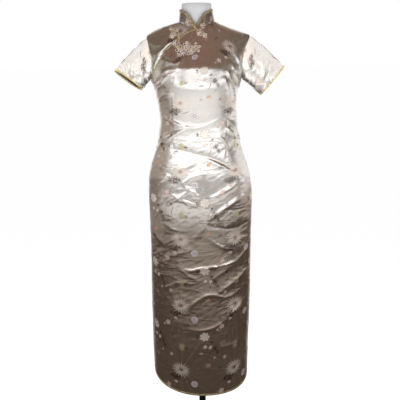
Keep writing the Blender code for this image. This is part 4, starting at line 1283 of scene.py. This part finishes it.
class Braid:
    """Gathers cords, knots and pads into one mesh."""

    def __init__(self):
        self.points, self.faces, self.uvs, self.slots = [], [], [], []

    def grid(self, grid, slot, run=None, closed=False):
        """Faces between rings of points. Run is the length of cord up to each ring."""
        rows, columns = grid.shape[:2]
        first = sum(len(block) for block in self.points)
        corners = faces_between(rows + closed, columns, True)
        quads = first + np.array(quads_of(corners, rows, columns))
        if run is None:
            uv = [np.stack([r * 0.001, c * 0.001], -1) for r, c in corners]
        else:
            uv = [np.stack([run[r], c / columns], -1) for r, c in corners]
        self.points.append(grid.reshape(-1, 3))
        self.faces += quads.tolist()
        self.uvs.append(np.stack(uv, 2).reshape(-1, 2))
        self.slots += [slot] * len(quads)

    def cord(self, path, closed=False, slot=TAN, radius=CORD_RADIUS, height=0.0):
        points, facing = lay_down(path, radius * 0.8 + height)
        points, facing = smooth_path(points, closed), smooth_path(facing, closed)
        aside = np.cross(heading_of(points, closed), facing)
        aside /= np.linalg.norm(aside, axis=-1, keepdims=True) + 1e-12
        angle = ring_angles(CORD_SIDES)
        taper = np.full(len(points), radius)
        if not closed:
            taper[[0, -1]] *= 0.35
        ring = (np.cos(angle)[None, :, None] * aside[:, None]
                + np.sin(angle)[None, :, None] * facing[:, None])
        grid = points[:, None] + ring * taper[:, None, None]
        run = lengths(points, 0)
        self.grid(grid, slot, np.append(run, run[-1] + 0.001), closed)

    def pad(self, ellipse, slot, height=0.0006, lift=0.0004):
        """A domed satin pad inside a loop of cord."""
        centre = ellipse.mean(0)
        shares = np.array((0.02, 0.4, 0.75, 1.0))
        path = np.concatenate([centre + (ellipse - centre) * s for s in shares])
        points, facing = lay_down(path, lift)
        dome = np.repeat(1.0 - shares**2, len(ellipse))[:, None] * height
        grid = (points + facing * dome).reshape(len(shares), len(ellipse), 3)
        self.grid(grid, slot)

    def ball(self, centre, radius):
        point, facing = lay_down([centre], radius * 0.9)
        tall = np.linspace(-math.pi / 2 + 0.05, math.pi / 2 - 0.05, 9)[:, None]
        turn = ring_angles(16)
        woven = 1.0 + 0.1 * np.cos(4 * turn + 6.0 * tall)
        grid = np.stack([np.cos(tall) * np.cos(turn), np.sin(tall) + 0 * turn,
                         np.cos(tall) * np.sin(turn)], -1) * (radius * woven)[..., None]
        self.grid(grid + point[0], TAN)

    def finish(self, name, materials):
        piece = add_piece(name, np.concatenate(self.points), self.faces)
        mesh = piece.data
        layer = mesh.uv_layers.new(name="cloth")
        layer.data.foreach_set("uv", np.concatenate(self.uvs).ravel())
        for material in materials:
            mesh.materials.append(material)
        mesh.polygons.foreach_set("material_index", self.slots)
        face_outwards(mesh, hole_sides=40)
        mesh.shade_smooth()
        return piece


def petal_loop(centre, size, heading, reach, half_length, half_width, count=26):
    """A teardrop loop whose round end points away from the flower's middle."""
    t = ring_angles(count)
    out = reach - half_length * np.cos(t)
    aside = half_width * np.sin(t) * (1.0 - 0.35 * np.cos(t))
    x = out * math.cos(heading) - aside * math.sin(heading)
    z = out * math.sin(heading) + aside * math.cos(heading)
    return centre + np.stack([x, z], -1) * size


def bloom(braid, centre, size, petals, turned, opening, first):
    """One flower of a frog: petals of cord with a pad in each, round a coil, or a fan of
    narrow loops."""
    whole = opening == 360.0
    apart = opening / (petals if whole else petals - 1)
    width = math.radians(apart) * (0.25 if whole else 0.16)
    if whole:
        turn = ring_angles(20)
        disc = np.stack([np.cos(turn), np.sin(turn)], -1) * size * 0.92
        braid.pad(centre + disc, BLACK, height=0.0002, lift=0.0001)
    for petal in range(petals):
        heading = math.radians(turned + apart * petal)
        braid.cord(petal_loop(centre, size, heading, 0.62, 0.38, width), True, CREAM)
        if whole:
            inner = petal_loop(centre, size, heading, 0.64, 0.33, width * 0.86, 16)
            braid.pad(inner, PAD_ORDER[(petal + first) % len(PAD_ORDER)])
    if whole:
        coil = np.linspace(0.0, 2.0 * math.pi, 18)[:, None]
        swirl = np.concatenate([np.cos(coil), np.sin(coil)], 1) * (0.06 + 0.1 * coil / coil[-1])
        braid.cord(centre + swirl * size)


def tail(braid, start, end):
    """A cord that joins two flowers in a slack curve."""
    share = np.linspace(0.0, 1.0, 16)[:, None]
    aside = np.array((start[1] - end[1], end[0] - start[0]))
    braid.cord(mix(start, end, share) + aside * TAIL_SAG * np.sin(math.pi * share))


for frog, (where, named, x, z, half_x, half_z, knot) in enumerate(FROGS):
    braid = Braid()
    centre, half_size = np.array((x, z)), np.array((half_x, half_z))
    hub = None
    for first, (own, across, up, size, *petals) in enumerate(BLOOMS):
        if own != frog:
            continue
        place = centre + np.array((across, up)) * half_size
        if hub is None:
            hub = place
        else:
            tail(braid, hub, place)
        bloom(braid, place, size * half_x, *petals, first)
    knot = np.array(knot)
    apart = np.array((knot[1] - hub[1], hub[0] - knot[0]))
    apart *= LOOP_HALF_GAP / np.linalg.norm(apart)
    for off in (-1.0, 1.0):
        share = np.linspace(0.0, 1.0, 20)[:, None]
        braid.cord(mix(hub, knot, share) + apart * off, radius=LOOP_RADIUS, height=LOOP_LIFT)
    if named == "right":
        braid.ball(knot, KNOT_RADIUS)
    piece = braid.finish("frog_" + where + "_" + named, frog_materials)
    fit(piece, "gold_cord", where + "_frog_" + named)


# ---- Room and light ----
# A pale floor, white all round, and a tent of soft lamps close to the dress: bright before
# the bust and waist, open over the chest, and dimmer towards the hem. The sleeves have
# brighter lamps of their own.

FLOOR_RADIUS = 300.0
FLOOR_PALE = (0.93, 0.93, 0.93)
WHITE = (1.0, 1.0, 1.0)
FILL = (0.42, 0.42, 0.42)
GLOOM = (0.088, 0.058, 0.041)  # what the satin mirrors between the lamps
OVERHEAD = (0.3, 0.165, 0.122)
BESIDE = (0.205, 0.15, 0.108)
GLOW = (0.75, 0.73, 0.71)  # and behind the dress
BACK_GLOW_FROM = 0.7
NEUTRAL, TINGED, WARM = (0.97, 0.985, 1.0), (1.0, 0.94, 0.88), (1.0, 0.855, 0.74)
FRONT, BACK, RIGHT, LEFT = (0, 1, 0), (0, -1, 0), (1, 0, 0), (-1, 0, 0)
UP, DOWN = (0, 0, 1), (0, 0, -1)
LAMPS = (
    # name, middle, lights, width, height, brightness, tint
    ("front bust", (0.0, -0.8, 1.3), FRONT, 1.6, 0.24, 1.9, NEUTRAL),
    ("front ribs", (0.0, -0.8, 1.13), FRONT, 1.4, 0.1, 1.0, NEUTRAL),
    ("near middle", (0.0, -0.44, 1.03), FRONT, 0.42, 0.22, 0.12, NEUTRAL),
    ("front top", (0.0, -0.8, 1.49), FRONT, 0.5, 0.14, 2.1, NEUTRAL),
    ("front waist", (0.0, -0.8, 1.045), FRONT, 1.5, 0.07, 0.44, NEUTRAL),
    ("front belly", (0.0, -0.8, 0.94), FRONT, 1.5, 0.14, 0.29, NEUTRAL),
    ("front hips", (0.0, -0.8, 0.78), FRONT, 1.5, 0.18, 0.29, TINGED),
    ("front thighs", (0.0, -0.8, 0.62), FRONT, 1.5, 0.14, 0.3, WARM),
    ("front knees", (0.0, -0.8, 0.48), FRONT, 1.5, 0.14, 0.18, WARM),
    ("near waist", (0.0, -0.45, 1.07), FRONT, 1.16, 0.2, 0.7, NEUTRAL),
    ("high front right", (-0.73, -0.62, 1.62), FRONT, 0.3, 0.3, 1.1, TINGED),
    ("high front left", (0.75, -0.62, 1.67), FRONT, 0.3, 0.3, 0.5, TINGED),
    ("high right", (-0.85, 0.0, 1.45), RIGHT, 0.5, 0.34, 0.85, TINGED),
    ("high left", (0.85, 0.0, 1.45), LEFT, 0.5, 0.34, 0.38, TINGED),
    ("front low", (0.0, -0.8, 0.33), FRONT, 1.5, 0.16, 0.12, WARM),
    ("under", (0.0, -0.5, 0.8), UP, 1.6, 0.44, 0.85, NEUTRAL),
    ("low right", (-0.85, -0.05, 1.1), RIGHT, 1.4, 0.36, 0.38, WARM),
    ("lower right", (-0.85, -0.05, 0.72), RIGHT, 1.4, 0.28, 0.24, WARM),
    ("low left", (0.85, 0.13, 1.1), LEFT, 1.0, 0.36, 1.15, NEUTRAL),
    ("lower left", (0.85, -0.05, 0.8), LEFT, 1.4, 0.24, 0.42, WARM),
    ("back", (0.0, 1.4, 1.4), BACK, 3.0, 1.3, 0.9, NEUTRAL),
)
SLEEVE_LAMPS = (
    ("before sleeves", (0.0, -0.9, 1.85), FRONT, 2.2, 0.8, 1.12, NEUTRAL),
    ("over sleeves", (0.0, -0.1, 2.1), DOWN, 2.4, 1.3, 1.12, NEUTRAL),
    ("right of sleeves", (-1.1, 0.1, 1.5), RIGHT, 1.6, 1.0, 1.12, NEUTRAL),
    ("left of sleeves", (1.1, 0.1, 1.5), LEFT, 1.6, 1.0, 1.12, NEUTRAL),
    ("behind sleeves", (0.0, 1.0, 1.8), BACK, 2.0, 0.7, 1.1, NEUTRAL),
    ("under sleeves", (0.0, -0.1, 0.7), UP, 2.0, 1.0, 0.85, NEUTRAL),
)

bpy.ops.object.select_all(action="DESELECT")
bpy.ops.mesh.primitive_circle_add(vertices=128, radius=FLOOR_RADIUS, fill_type="NGON")
floor = bpy.context.object
floor.name = "floor"
pale, tree = new_material("pale floor", base_color=FLOOR_PALE, roughness=0.9,
                          specular_ior_level=0.0, emission_color=WHITE,
                          emission_strength=0.6)
floor.data.materials.append(pale)
floor.visible_glossy = False
floor.visible_diffuse = False
floor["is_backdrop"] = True

sleeve_light = bpy.data.collections.new("sleeve light")
for piece in sleeve_pieces:
    sleeve_light.objects.link(piece)
for name, middle, lights, width, height, brightness, tint in LAMPS + SLEEVE_LAMPS:
    lamp = bpy.data.lights.new(name, "AREA")
    lamp.shape, lamp.size, lamp.size_y = "RECTANGLE", width, height
    lamp.color = tint
    lamp.energy = brightness * math.pi * width * height
    holder = bpy.data.objects.new(name, lamp)
    turned = Vector(lights).to_track_quat("-Z", "Y").to_matrix().to_4x4()
    holder.matrix_world = Matrix.Translation(middle) @ turned
    holder.visible_camera = False
    if name.endswith("sleeves"):
        holder.light_linking.receiver_collection = sleeve_light
    bpy.context.scene.collection.objects.link(holder)

world = bpy.data.worlds.new("studio")
world.use_nodes = True
bpy.context.scene.world = world
sky = Thread(world.node_tree)
direction = sky.node("ShaderNodeTexCoord", output="Generated")
aside, behind, upward = (direction.axis(letter) for letter in "XYZ")
high = ((abs(aside) - 0.12) * 2.5).clamped().mixed(OVERHEAD, BESIDE)
mirrored = ((behind - BACK_GLOW_FROM) * 5.0).clamped().mixed(
    ((upward - 0.1) * 3.0).clamped().mixed(GLOOM, high), GLOW)
is_camera, is_glossy = (sky.node("ShaderNodeLightPath", output=key)
                        for key in ("Is Camera Ray", "Is Glossy Ray"))
seen = is_camera.mixed(is_glossy.mixed(FILL, mirrored), WHITE)
background = world.node_tree.nodes["Background"]
world.node_tree.links.new(seen.socket, background.inputs["Color"])
bpy.context.scene.view_settings.view_transform = "Standard"


# ---- Sizes ----
# The boxes round the solids and round the pieces above.

sizes = {"cad": [list(corner) for corner in cad_bounds],
         "visual": [list(corner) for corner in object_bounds()]}
